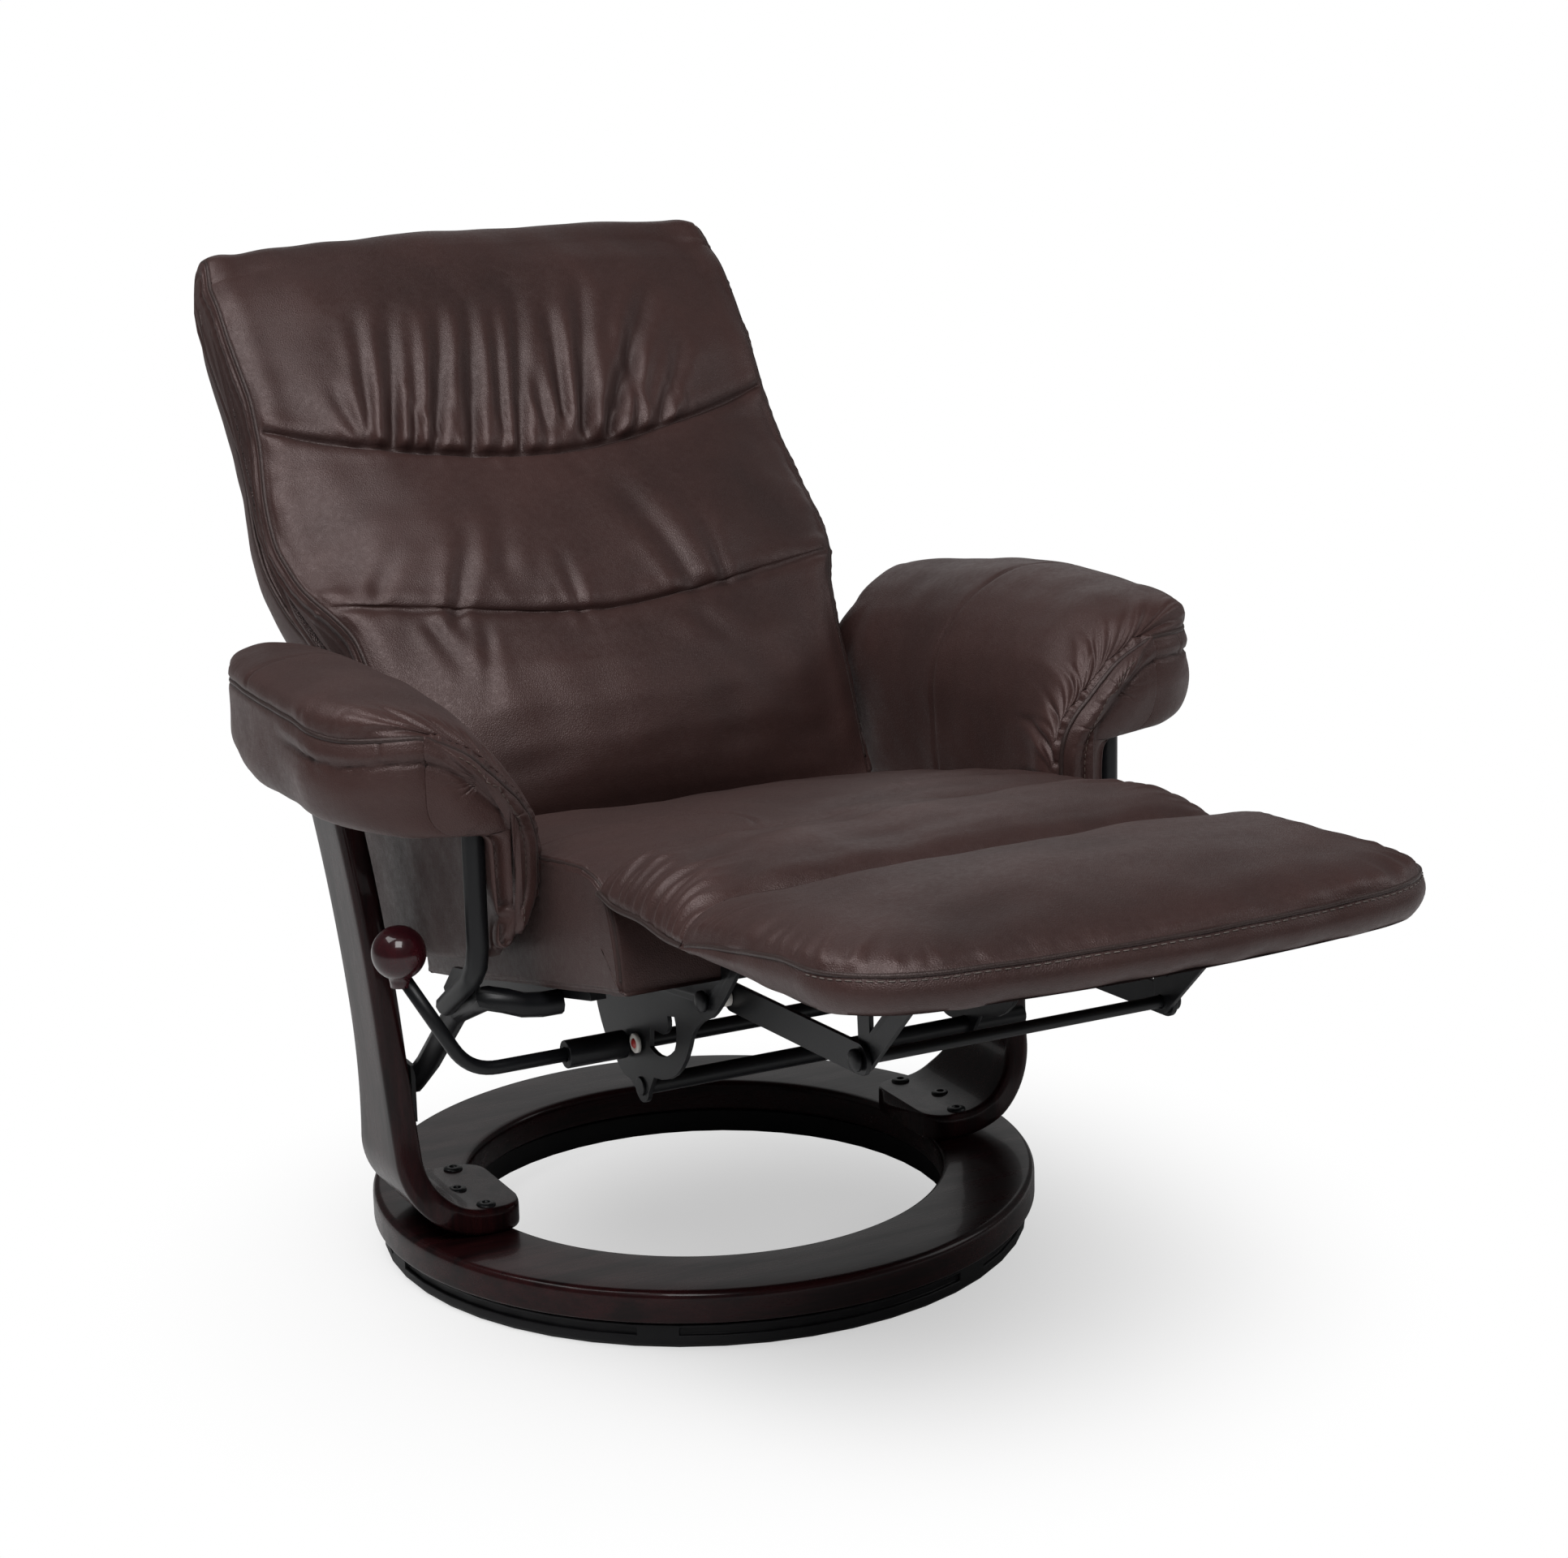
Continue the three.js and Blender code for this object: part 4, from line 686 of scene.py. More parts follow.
brown = leather("brown_leather", (0.0200, 0.0090, 0.0079), (0.0440, 0.0204, 0.0180), 520.0)
welt_brown = leather("welt_leather", (0.012, 0.0068, 0.006), (0.026, 0.0145, 0.0125), 700.0)
thread = powder_coated("sewing_thread", (0.05, 0.034, 0.028), (0.09, 0.062, 0.05), 2500, 0.5, 0.7, 0.00004)


def nearest(points, line):
    """For each point, the closest point of a polyline."""
    start, span = line[:-1], line[1:] - line[:-1]
    along = np.einsum("...kj,kj->...k", points[..., None, :] - start, span) / (span ** 2).sum(-1)
    found = start + np.clip(along, 0, 1)[..., None] * span
    best = np.argmin(((points[..., None, :] - found) ** 2).sum(-1), -1)
    return np.take_along_axis(found, best[..., None, None], -2)[..., 0, :]


def closing(loop, direction, spine, radius, insets, crown=0.0, steps=7):
    """Rows that close one end of a carried loop: a quarter round of that radius, then rows drawn towards
    the spine by each inset, raised along direction by crown in the middle. Past 0.6 of the way the insets
    slow down, so that no rows fall together on the spine."""
    reach = nearest(loop, np.asarray(spine, float)) - loop
    far = np.linalg.norm(reach, axis=-1, keepdims=True)
    inward = reach / far
    angle = np.linspace(0, np.pi / 2, steps)[1:, None, None]
    edge = loop + direction * radius * np.sin(angle) + inward * radius * (1 - np.cos(angle))
    depth = np.asarray(insets, float)[:, None, None]
    depth = np.where(depth < far * 0.6, depth, far * (0.97 - 0.37 * np.exp(-(depth / far - 0.6) / 0.37)))
    lift = radius + crown * (1 - (1 - depth / far) ** 2)
    return np.concatenate([edge, loop + inward * depth + direction * lift])


def normals_of(rows):
    """Unit normals of a surface of rings: the cross product of the steps round the ring and across the
    rings."""
    around = np.roll(rows, -1, 1) - np.roll(rows, 1, 1)
    across = np.gradient(rows, axis=0)
    found = np.cross(around, across)
    found /= np.linalg.norm(found, axis=-1, keepdims=True) + 1e-12
    flux = np.einsum("ijk,ijk->", found, rows - rows.mean((0, 1)))
    return found if flux > 0 else -found


def ripple(along, away, pitch, depth, reach, seed, start, end):
    """Gathers along a seam: ridges at jittered places between start and end, each with its own lean, width,
    height and length, fading with the distance from the seam."""
    rng = np.random.default_rng(seed)
    total = np.zeros(np.broadcast(along, away).shape)
    for place in np.arange(start, end, pitch):
        place += rng.normal(0, pitch * 0.22)
        lean = rng.normal(0, 0.28)
        width = pitch * rng.uniform(0.22, 0.42)
        height = depth * rng.uniform(0.45, 1.15)
        length = reach * rng.uniform(0.45, 1.3)
        total += height * np.exp(-((along - place - lean * away) / width) ** 2 - (away / length) ** 2)
    return total


def swell(points, size, depth, seed):
    """Slow unevenness of a stuffed cover: a few sine waves of random direction, with wavelengths near
    size."""
    rng = np.random.default_rng(seed)
    total = np.zeros(points.shape[:-1])
    for _ in range(9):
        direction = rng.normal(size=3)
        direction *= 2 * np.pi / (np.linalg.norm(direction) * size * rng.uniform(0.6, 1.5))
        total += np.sin(points @ direction + rng.uniform(0, 6.28))
    return total * depth / 3


def bell(distance, width):
    """A Gaussian: 1 at no distance, falling off over width."""
    return np.exp(-(distance / width) ** 2)


def groove(distance, width, depth):
    """A sewn seam pulled into the padding: negative, deepest on the line."""
    return -depth * bell(distance, width)


def eased(x, knots, values, soft):
    """Linear interpolation between knots, with its corners rounded by averaging over +-soft."""
    return np.mean([np.interp(x + shift, knots, values) for shift in np.linspace(-soft, soft, 9)], 0)


def run_along(line):
    """The distance run along a polyline, at each of its points."""
    return np.concatenate([[0], np.cumsum(np.linalg.norm(np.diff(line, axis=0), axis=1))])


def stitches(name, path, pitch, length, radius, material, body):
    """A row of thread stitches on a path: one short bar per pitch, as four rings of five points with thin
    ends."""
    run = run_along(path)
    starts = np.arange(pitch / 2, run[-1] - length, pitch)
    a, b = (np.stack([np.interp(at, run, axis) for axis in path.T], -1) for at in (starts, starts + length))
    ahead = (b - a) / np.linalg.norm(b - a, axis=1, keepdims=True)
    first = np.cross(ahead, [0.3, 0.5, 0.81])
    first /= np.linalg.norm(first, axis=1, keepdims=True)
    second = np.cross(ahead, first)
    angle = np.linspace(0, 2 * np.pi, 5, endpoint=False)
    ring = first[:, None] * np.cos(angle)[None, :, None] + second[:, None] * np.sin(angle)[None, :, None]
    levels = [(0.0, 0.35), (0.2, 1.0), (0.8, 1.0), (1.0, 0.35)]
    rings = [a[:, None] + (b - a)[:, None] * t + ring * radius * size for t, size in levels]
    base = (np.arange(len(a)) * 20)[:, None, None] + (np.arange(3) * 5)[None, :, None]
    step, step_next = base + np.arange(5), base + (np.arange(5) + 1) % 5
    quads = np.stack([step, step_next, step_next + 5, step + 5], -1).reshape(-1, 4)
    caps = [[k + i for i in (4, 3, 2, 1, 0)] for k in range(0, len(a) * 20, 20)]
    caps += [[k + 15 + i for i in range(5)] for k in range(0, len(a) * 20, 20)]
    mesh = bpy.data.meshes.new(name)
    mesh.from_pydata(np.stack(rings, 1).reshape(-1, 3).tolist(), [], quads.tolist() + caps)
    placed(name, mesh, material, body)


def evenly(lines, count):
    """Each polyline of (rows, n, k) resampled to count points at equal steps along it, ends included."""
    out = []
    for line in lines:
        run = run_along(line)
        out.append(np.stack([np.interp(np.linspace(0, run[-1], count), run, axis) for axis in line.T], -1))
    return np.array(out)


def softened(line, reach=2):
    """A path with its points averaged over their neighbours, so that a welt doesn't follow every wrinkle."""
    kernel = np.ones(2 * reach + 1) / (2 * reach + 1)
    return np.stack([np.convolve(np.pad(axis, reach, "edge"), kernel, "valid") for axis in line.T], -1)


# the cover's edge radii in front and behind, the second stitching's distance from the welt, the seam's place
# in the ring, and how far in each row of the front lies
ARM_LIP = 0.008
ARM_TAIL = 0.026
BAND = 0.0205
SEAM_AT = 168
ARM_INSETS = [0.0100, 0.0115, 0.0130, 0.0145, 0.0160, 0.0175, 0.0188, 0.0200, 0.0212, 0.0225, 0.024, 0.027,
              0.031, 0.036, 0.043, 0.05]


def arm_stations(word):
    """One arm's sizes, as on the +X side, at each distance q behind its front: the soft top's height, the
    plan outline x_out, whose front corner is a quarter ellipse, the seam's height, the foot and the
    underside."""
    pad_low, pad_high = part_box(word + "_arm_pad")
    side_low, side_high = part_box(word + "_arm_side")
    at = SimpleNamespace(front=pad_low.y, span=pad_high.y - pad_low.y)
    at.inner, at.outer = sorted((abs(pad_low.x), abs(pad_high.x)))
    at.hang = max(abs(side_low.x), abs(side_high.x)) - 0.004
    at.middle = (at.inner + at.hang) / 2 + 0.004
    q = np.concatenate([0.13 * np.linspace(0, 1, 74) ** 2, np.linspace(0.13, at.span - ARM_TAIL, 76)[1:]])
    at.q, at.fore = q, bell(q, 0.055)
    at.z_top = pad_high.z + 0.003 - 0.021 * np.clip(1 - q / 0.085, 0, 1) ** 2
    at.z_top -= 0.024 * np.clip((q - 0.19) / 0.22, 0, 1.3) ** 1.6
    at.x_out = eased(q, [0.24, 0.292, 0.332, 0.382, 0.432, 0.460],
                     at.outer - np.array([0, 8, 21, 39, 62, 82]) / 1000, 0.02)
    at.x_out -= 0.072 * (1 - np.sqrt(1 - (np.clip(0.090 - q, 0, 0.090) / 0.090) ** 2))
    z_seam = eased(q, [0, 0.03, 0.06, 0.10, 0.26, 0.32, 0.43],
                   [0.5545, 0.5500, 0.5500, 0.5545, 0.5535, 0.546, 0.532], 0.014)
    at.z_seam = np.minimum(z_seam, at.z_top - 0.002)
    at.z_under = np.full_like(q, 0.471)
    z_foot = eased(q, [0, 0.04, 0.09, 0.15, 0.22, 0.29, 0.35, 0.40, 0.43],
                   [0.375, 0.352, 0.334, 0.318, 0.303, side_low.z, 0.300, 0.36, 0.44], 0.012)
    at.z_foot = np.minimum(z_foot, at.z_under - 0.026)
    return at


def arm_section(at):
    """A J-shaped ring in X and Z for each station. Points 0 to SEAM_AT lie on the soft top, which rolls over
    the inner edge and stops at x_out, where its shoulder is drawn down to the seam as a quarter ellipse. The
    rest lie on the panel below the seam, the underside and the hanging side's outside. Both are rounded
    polygons."""
    full = np.ones_like(at.q)
    foot = np.stack([at.inner + 0.024 * at.fore, at.z_foot], -1)
    past = at.outer + 0.02 * full
    belly = at.inner - 0.007 * at.fore
    belly_z, bulge_z = at.z_foot + 0.022 + 0.020 * at.fore, at.z_top - 0.064 - 0.017 * at.fore
    gap = (bulge_z - belly_z) * 0.48
    toe = (at.hang - at.inner - 0.024 * at.fore) * 0.42
    corners = np.stack([
        foot, np.stack([belly, belly_z], -1), np.stack([belly, bulge_z], -1),
        np.stack([belly + 0.064 + 0.017 * at.fore, at.z_top], -1),
        np.stack([past, at.z_top], -1), np.stack([past, at.z_foot], -1)], 1)
    radii = np.stack([toe, np.minimum(0.010 + 0.012 * at.fore, gap), np.minimum(0.045 - 0.006 * at.fore, gap),
                      0.045 + 0.008 * at.fore, 0.001 * full, 0.001 * full], -1)
    upper = rounded(corners, radii, 40, 20)[:, 20:241]
    corners = np.stack([
        foot, np.stack([at.x_out, at.z_seam], -1), np.stack([at.x_out, at.z_under], -1),
        np.stack([at.hang + 0.003 * full, at.z_under], -1), np.stack([at.hang * full, at.z_foot], -1)], 1)
    turn = np.minimum(0.030, (at.x_out - at.hang - 0.003) * 0.6)
    lower = rounded(corners, np.stack([toe, 0.0004 * full, turn, turn * 0.5, toe], -1), 40, 20)
    lower = np.concatenate([lower[:, 80:], lower[:, :21]], 1)
    shoulder = eased(at.q, [0, 0.03, 0.11, 0.19, 0.28, 0.43],
                     [0.010, 0.020, 0.042, 0.052, 0.046, 0.030], 0.008)
    cut = []
    for line, limit, wide, high in zip(upper, at.x_out, shoulder, at.z_seam):
        peak = np.argmin(line[:, 0])
        stop = peak + np.searchsorted(line[peak:, 0], limit)
        share = (limit - line[stop - 1, 0]) / (line[stop, 0] - line[stop - 1, 0])
        line = np.concatenate([line[:stop], [line[stop - 1] + (line[stop] - line[stop - 1]) * share]])
        line = evenly(line[None], 500)[0]
        u = np.clip((line[:, 0] - (limit - wide)) / wide, 0, 1) * (np.arange(500) > 200)
        line[:, 1] -= np.maximum(line[-1, 1] - high, 0) * (1 - np.sqrt(1 - u ** 2 * 0.9999))
        cut.append(line)
    return np.concatenate([evenly(np.array(cut), SEAM_AT + 1), evenly(lower, 102)[:, 1:-1]], 1)


def arm_rows(at, on_top):
    """The section carried along Y and closed at both ends. Its front edge has the lip's radius on the soft
    top and is sharp below the seam. Also gives the number of rows in the front's closing."""
    section = arm_section(at)
    lip = 0.0008 + (ARM_LIP - 0.0008) * on_top
    along = at.front + lip[None, :] + at.q[:, None] * (1 - lip[None, :] / at.span)
    rows = np.stack([section[..., 0], along, section[..., 1]], -1)

    def spine_at(i):
        """The section's centre line: up the hanging side, then out along the top."""
        y = at.front + at.q[i]
        return [(at.middle, y, at.z_foot[i] + 0.02), (at.middle, y, at.z_under[i] + 0.01),
                (at.middle + 0.014, y, (at.z_under[i] + at.z_top[i]) / 2 - 0.008),
                (max(at.x_out[i] - 0.045, at.middle + 0.02), y, (at.z_under[i] + at.z_seam[i]) / 2)]

    rearward = np.array([0, 1, 0])
    tail_insets = np.linspace(ARM_TAIL, 0.05, 9)
    nose = closing(rows[0], -rearward, spine_at(0), lip[:, None], ARM_INSETS, 0.006)[::-1]
    tail = closing(rows[-1], rearward, spine_at(-1), ARM_TAIL, tail_insets, 0.004)
    return np.concatenate([nose, rows, tail]), len(nose)


def arm_relief(at, rows, first, on_top, side):
    """Heights of the seams, the gathers behind them and the stuffing's unevenness. The soft top has gathers
    along the front edge and a cross seam; the panel has a stitched band along its welt and one short
    upright seam."""
    row_number = np.arange(len(rows))[:, None]
    index = np.arange(rows.shape[1])
    edge_row = first - 3
    run = run_along(rows[first + 60])
    from_seam = np.abs(run - run[SEAM_AT])[None, :]
    behind = np.clip(rows[..., 1] - (at.front + ARM_LIP), 0, None)
    ends = run[2] + 0.012, run[SEAM_AT] - 0.004
    odd = int(side > 0)
    soft = ripple(run[None, :], behind, 0.0110, -0.0036, 0.022, 21 + odd, 0.18, ends[1])
    soft += ripple(run[None, :], behind, 0.0155, -0.0046, 0.044, 23 + odd, ends[0], 0.18)
    soft *= 0.35 + 0.65 * (1 - np.exp(-behind / 0.005))
    soft += 0.0042 * bell(behind - 0.020, 0.020)
    soft += ripple(run[None, :], behind, 0.0280, 0.0022, 0.05, 25 + odd, *ends)
    corner = np.exp(-(behind / 0.10) ** 4)
    beside = ripple(rows[..., 1], from_seam, 0.0115, -0.0022, 0.020, 27 + odd, at.front, at.front + 0.13)
    soft += beside * corner
    cross = rows[..., 1] - at.front - 0.223 - 0.01 * np.sin(run[None, :] * 9)
    soft += groove(cross, 0.0022, 0.0020) + 0.0012 * bell(cross, 0.02)
    soft += 0.0026 * bell(from_seam - 0.016, 0.012)

    seam = np.concatenate([rows[first + 80:first:-1, SEAM_AT], rows[edge_row, SEAM_AT:2:-1]])
    panel = (row_number < edge_row) | (index > SEAM_AT)
    near_front = panel & (row_number < first + 84) & (rows[..., 2] > 0.33)
    sewn_away = np.full(rows.shape[:2], 0.09)
    sewn_away[near_front] = np.linalg.norm(nearest(rows[near_front], seam) - rows[near_front], axis=-1)
    band = groove(sewn_away - BAND, 0.0016, 0.0026) + 0.0022 * bell(sewn_away - 0.0120, 0.005)
    band += 0.0030 * bell(sewn_away - 0.040, 0.016)
    in_corner = (rows[..., 1] < at.front + 0.08) & (sewn_away < 0.0195)
    band += groove(rows[..., 0] - 0.374, 0.0016, 0.0016) * in_corner
    band += ripple(run[None, :] + rows[..., 1], np.abs(sewn_away - BAND), 0.012, -0.0010, 0.010, 29, *ends)

    relief = swell(rows, 0.11, 0.0012, 5 + odd) + swell(rows, 0.045, 0.0004, 7)
    relief += soft * on_top * (row_number >= first - 2)
    relief += groove(from_seam, 0.0030, 0.0028) * (row_number >= first)
    relief += groove((row_number - edge_row) * 0.0022, 0.003, 0.0026) * on_top * (row_number < first + 3)
    return relief + band * panel * np.clip((at.front + 0.15 - rows[..., 1]) / 0.03, 0, 1)


def arm_core(at, word, side):
    """The board inside, with its front corner cut round under the cover and its edges eased."""
    low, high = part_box(word + "_arm_board")
    y = np.linspace(max(low.y, at.front + 0.014), high.y, 40)
    wide = np.minimum(at.outer - 0.030, np.interp(y - at.front - 0.012, at.q, at.x_out) - 0.022)
    plan = np.concatenate([np.stack([wide, y], -1), np.stack([np.full(40, 0.296), y[::-1]], -1)])
    centre = plan.mean(0)
    levels = [(low.z, 0.993), (low.z + 0.001, 1.0), (high.z - 0.001, 1.0), (high.z, 0.993)]
    rows = np.stack([np.column_stack([(centre + (plan - centre) * grow) * (side, 1), np.full(80, z)])
                     for z, grow in levels])
    skin(word + "_arm_core", rows, bare, "swivel_frame", [word + "_arm_board"])


def arm(word, side):
    """The leather cover with its welt and its second line of stitching, and the board inside."""
    at = arm_stations(word)
    index = np.arange(SEAM_AT + 101)
    on_top = np.clip((SEAM_AT + 0.5 - index) / 5, 0, 1) * np.clip(index / 3, 0, 1)
    rows, first = arm_rows(at, on_top)
    relief = arm_relief(at, rows, first, on_top, side)
    rows = (rows + normals_of(rows) * relief[..., None]) * (side, 1, 1)
    cover = skin(word + "_arm_cover", rows, brown, "swivel_frame",
                 [word + "_arm_pad", word + "_arm_side"], fold=relief)
    line = np.concatenate([rows[first + len(at.q) - 4:first:-1, SEAM_AT], rows[first - 3, SEAM_AT - 2:1:-1]])
    number = np.arange(len(line))
    ease = np.clip(np.minimum(number, number[::-1]) / 6, 0.15, 1)
    line = softened(line, 3)
    swept(word + "_arm_welt", line, 0.0025 * ease, welt_brown, "swivel_frame", sides=10)
    sewn = rows[len(ARM_INSETS) - 9, SEAM_AT - 6:3:-1] + (0, -0.0005, 0)
    stitches(word + "_arm_stitching", sewn, 0.0062, 0.0044, 0.0005, thread, "swivel_frame")
    arm_core(at, word, side)


arm("left", 1)
arm("right", -1)

# ---------------------------------------------------------------- back cushion
# Three stuffed panels sewn together along two curved seams: lower back, lumbar and head, with the head panel
# rolled over the top. A welt runs up each front edge, and a narrow ruffled gusset joins it to the outer back.
# The leather is gathered into the seams, most of all above the upper one.
middle_y = joint_at["swivel"][1]
hinge = joint_at["back_recline"]
half_root = np.sqrt(0.5)


def back_place(x, v, n):
    """A point of the back, v up along it from the hinge line and n out of its front, at 45 degrees' lean."""
    x, v, n = np.broadcast_arrays(x, v, n)
    return np.stack([x, hinge[1] + (v - n) * half_root, hinge[2] + (v + n) * half_root], -1)


def pinch(x, v, start, end, width, depth):
    """A fold that runs from start and deepens to end, its seam end: a valley between two soft ridges."""
    start, end = np.array(start) / 1000, np.array(end) / 1000
    span = end - start
    length = np.hypot(*span)
    along = ((x - start[0]) * span[0] + (v - start[1]) * span[1]) / length ** 2
    off = ((x - start[0]) * span[1] - (v - start[1]) * span[0]) / length
    strength = np.clip(along, 0, 1) ** 0.7 * bell(np.clip(along - 1, 0, 9) * length, 0.012)
    reach = width * (1.35 - 0.5 * np.clip(along, 0, 1))
    ridges = 0.75 * bell(off - 2.1 * reach, 1.2 * reach) + 0.75 * bell(off + 2.1 * reach, 1.2 * reach)
    return depth * strength * (ridges - bell(off, reach))


# folds as (start, end, width, depth): places (x, v) and widths in millimetres, and depths in 1/720 of a metre
# on the head panel and 1/850 of a metre below it
HEAD_FOLDS = [
    ((-146, 592), (-166, 446), 5.0, 2.6), ((-107, 603), (-146, 441), 7.0, 5.2),
    ((-90, 590), (-127, 434), 6.0, 4.4), ((-60, 590), (-109, 431), 6.5, 5.0),
    ((-26, 604), (-72, 424), 6.5, 4.6), ((-5, 590), (-38, 437), 5.0, 3.2),
    ((51, 585), (30, 458), 5.5, 3.6), ((99, 623), (46, 440), 7.0, 5.4),
    ((173, 607), (73, 436), 7.5, 6.0), ((186, 533), (135, 450), 6.0, 3.2),
    ((-190, 518), (-173, 455), 5.5, 2.2), ((26, 611), (-28, 411), 6.0, 4.0),
    ((131, 560), (104, 442), 5.0, 3.0), ((12, 520), (4, 425), 4.5, 2.4),
]
LOWER_FOLDS = [
    ((-108, 335), (-147, 245), 7.0, 3.0), ((47, 394), (88, 250), 11.0, 3.2),
    ((-33, 300), (-29, 232), 5.0, 1.6), ((167, 97), (87, 205), 12.0, 1.8),
    ((-149, 160), (-174, 232), 7.0, 1.6), ((-146, 140), (-128, 211), 6.0, 1.4),
    ((120, 330), (128, 253), 7.0, 1.8), ((-70, 380), (-88, 288), 10.0, 1.4),
    ((-176, 330), (-210, 284), 7.0, 1.8),
]
BACK_HALF = 0.262
BACK_FOOT, BACK_TOP = 0.05, 0.672


def half_width(v):
    """Half the back's width, eased between stations: narrow below and widest beside the lumbar panel."""
    knots = [0.05, 0.14, 0.204, 0.243, 0.263, 0.285, 0.31, 0.362, 0.413, 0.472, 0.52, 0.59, 0.66, 0.703]
    halves = [0.236, 0.239, 0.241, 0.246, 0.255, 0.265, 0.273, 0.279, 0.276, 0.268, 0.267, 0.27, 0.27, 0.264]
    return eased(v, knots, halves, 0.008)


def welt_depth(v):
    """How far in front of the frame the side welt runs, eased between stations: deepest beside the lower
    panel's top and the head panel, and shallow beside the lumbar panel."""
    knots = [0.05, 0.10, 0.14, 0.204, 0.24, 0.273, 0.325, 0.383, 0.431, 0.47, 0.519, 0.581, 0.638, 0.68, 0.7]
    depths = [0.022, 0.04, 0.054, 0.073, 0.08, 0.077, 0.06, 0.049, 0.054, 0.066, 0.08, 0.083, 0.086, 0.078,
              0.06]
    return eased(v, knots, depths, 0.012)


def seam_low(x):
    """The lower seam's height: a power curve that climbs towards the sides."""
    return 0.229 + 0.050 * np.clip(np.abs(x) / BACK_HALF, 0, 1.1) ** 1.6


def seam_high(x):
    """The upper seam's height: a power curve that climbs towards the sides."""
    return 0.417 + 0.070 * np.clip(np.abs(x) / BACK_HALF, 0, 1.1) ** 1.8


# the profile at the middle of the back: (v, n) up the front, over the top and down the frame side
pad_edge = 0.009
lower_s = np.linspace(0, 1, 44)
lumbar_s = 0.5 - 0.5 * np.cos(np.linspace(0, np.pi, 58))[1:] * 0.999
head_s = np.concatenate([np.linspace(0, 0.2, 18)[1:], np.linspace(0.2, 1, 48)[1:]])
lower_n = eased(lower_s, [0, 0.06, 0.14, 0.28, 0.46, 0.66, 0.84, 0.94, 1.0],
                [0.024, 0.044, 0.060, 0.078, 0.092, 0.100, 0.101, 0.098, 0.0955], 0.02)
lumbar_n = eased(lumbar_s, [0, 0.06, 0.16, 0.32, 0.5, 0.7, 0.86, 0.95, 1.0],
                 [0.0955, 0.0995, 0.1035, 0.1070, 0.1065, 0.1010, 0.0945, 0.0900, 0.0865], 0.02)
head_n = eased(head_s, [0, 0.05, 0.12, 0.25, 0.45, 0.68, 0.86, 1.0],
               [0.0865, 0.0925, 0.0975, 0.103, 0.107, 0.106, 0.101, 0.092], 0.02)
roll_t = np.linspace(0, 1, 26)[1:, None]
roll = ((1 - roll_t) ** 3 * (BACK_TOP, 0.092) + 3 * (1 - roll_t) ** 2 * roll_t * (0.711, 0.083)
        + 3 * (1 - roll_t) * roll_t ** 2 * (0.725, 0.060) + roll_t ** 3 * (0.703, 0.034))
down_frame = [(v, 0.0125) for v in (0.60, 0.50, 0.40, 0.30, 0.20, 0.12, 0.06)]
rear = np.array([(0.676, 0.020), (0.655, 0.0135), *down_frame, (0.051, 0.014), (0.049, 0.019)])
columns = np.linspace(-1, 1, 157)[:, None]
ring_count = len(lower_s) + len(lumbar_s) + len(head_s) + len(roll) + len(rear)
front_count = ring_count - len(rear)


def back_rows():
    """The cushion's rings: at each station u across, the three panels between their seams, the top and the
    rear. The depth falls from the middle's to the welt's with a high power of u, so that the panels stay
    full."""
    low, high = seam_low(columns * BACK_HALF), seam_high(columns * BACK_HALF)
    v = np.concatenate([BACK_FOOT + (low - BACK_FOOT) * lower_s, low + (high - low) * lumbar_s,
                        high + (BACK_TOP - high) * head_s,
                        np.broadcast_to(roll[:, 0], (len(columns), len(roll))),
                        np.broadcast_to(rear[:, 0], (len(columns), len(rear)))], 1)
    top_dip = 0.013 * np.abs(columns) ** 4 * np.clip((v - 0.48) / 0.2, 0, 1) ** 2
    n_mid = np.concatenate([lower_n, lumbar_n, head_n, roll[:, 1], rear[:, 1]])[None, :]
    over_top = np.arange(ring_count) >= front_count - len(roll)
    n_side = np.where(over_top, np.minimum(n_mid, 0.082), np.minimum(welt_depth(v), n_mid))
    n = n_mid + (n_side - n_mid) * np.abs(columns) ** 3.4
    return columns * (half_width(v) - pad_edge), v - top_dip, n


def gusset_spine(sign):
    """A line up the middle of one side's gusset, towards which its rows are drawn."""
    v = np.linspace(0.075, 0.66, 40)
    return back_place(sign * (half_width(v) - pad_edge), v, (0.012 + welt_depth(v)) / 2)


pad_x, pad_v, pad_n = back_rows()
body = back_place(pad_x, pad_v, pad_n)
front_of = np.arange(ring_count) < front_count
gusset_insets = [pad_edge, 0.0105, 0.012, 0.0137, 0.0155, 0.0175, 0.020, 0.023, 0.027]
first_cap = closing(body[0], np.array([-1, 0, 0]), gusset_spine(-1), pad_edge, gusset_insets, 0.003)[::-1]
last_cap = closing(body[-1], np.array([1, 0, 0]), gusset_spine(1), pad_edge, gusset_insets, 0.003)
cap_rows = len(first_cap)
# the rows halfway round the cushion's side edges, where the welts lie
first_edge, last_edge = cap_rows - 3, -cap_rows + 2
rows = np.concatenate([first_cap, body, last_cap])

low_line, high_line = seam_low(pad_x), seam_high(pad_x)
above_low, above_high = pad_v - low_line, pad_v - high_line
relief = swell(body, 0.13, 0.0016, 3) + swell(body, 0.055, 0.0005, 4)
for away, width, depth in ((above_low, 0.0030, 0.0036), (above_high, 0.0032, 0.0044)):
    relief += groove(away, width, depth) + 0.0014 * bell(np.abs(away) - 0.012, 0.009)
for start, end, width, depth in HEAD_FOLDS:
    relief += pinch(pad_x, pad_v, start, end, width / 1000, depth / 720) * np.clip(above_high / 0.006, 0, 1)
for start, end, width, depth in LOWER_FOLDS:
    relief += pinch(pad_x, pad_v, start, end, width / 1000, depth / 850)
in_head, middle = above_high > 0, np.exp(-(np.abs(pad_x + 0.01) / 0.19) ** 4)
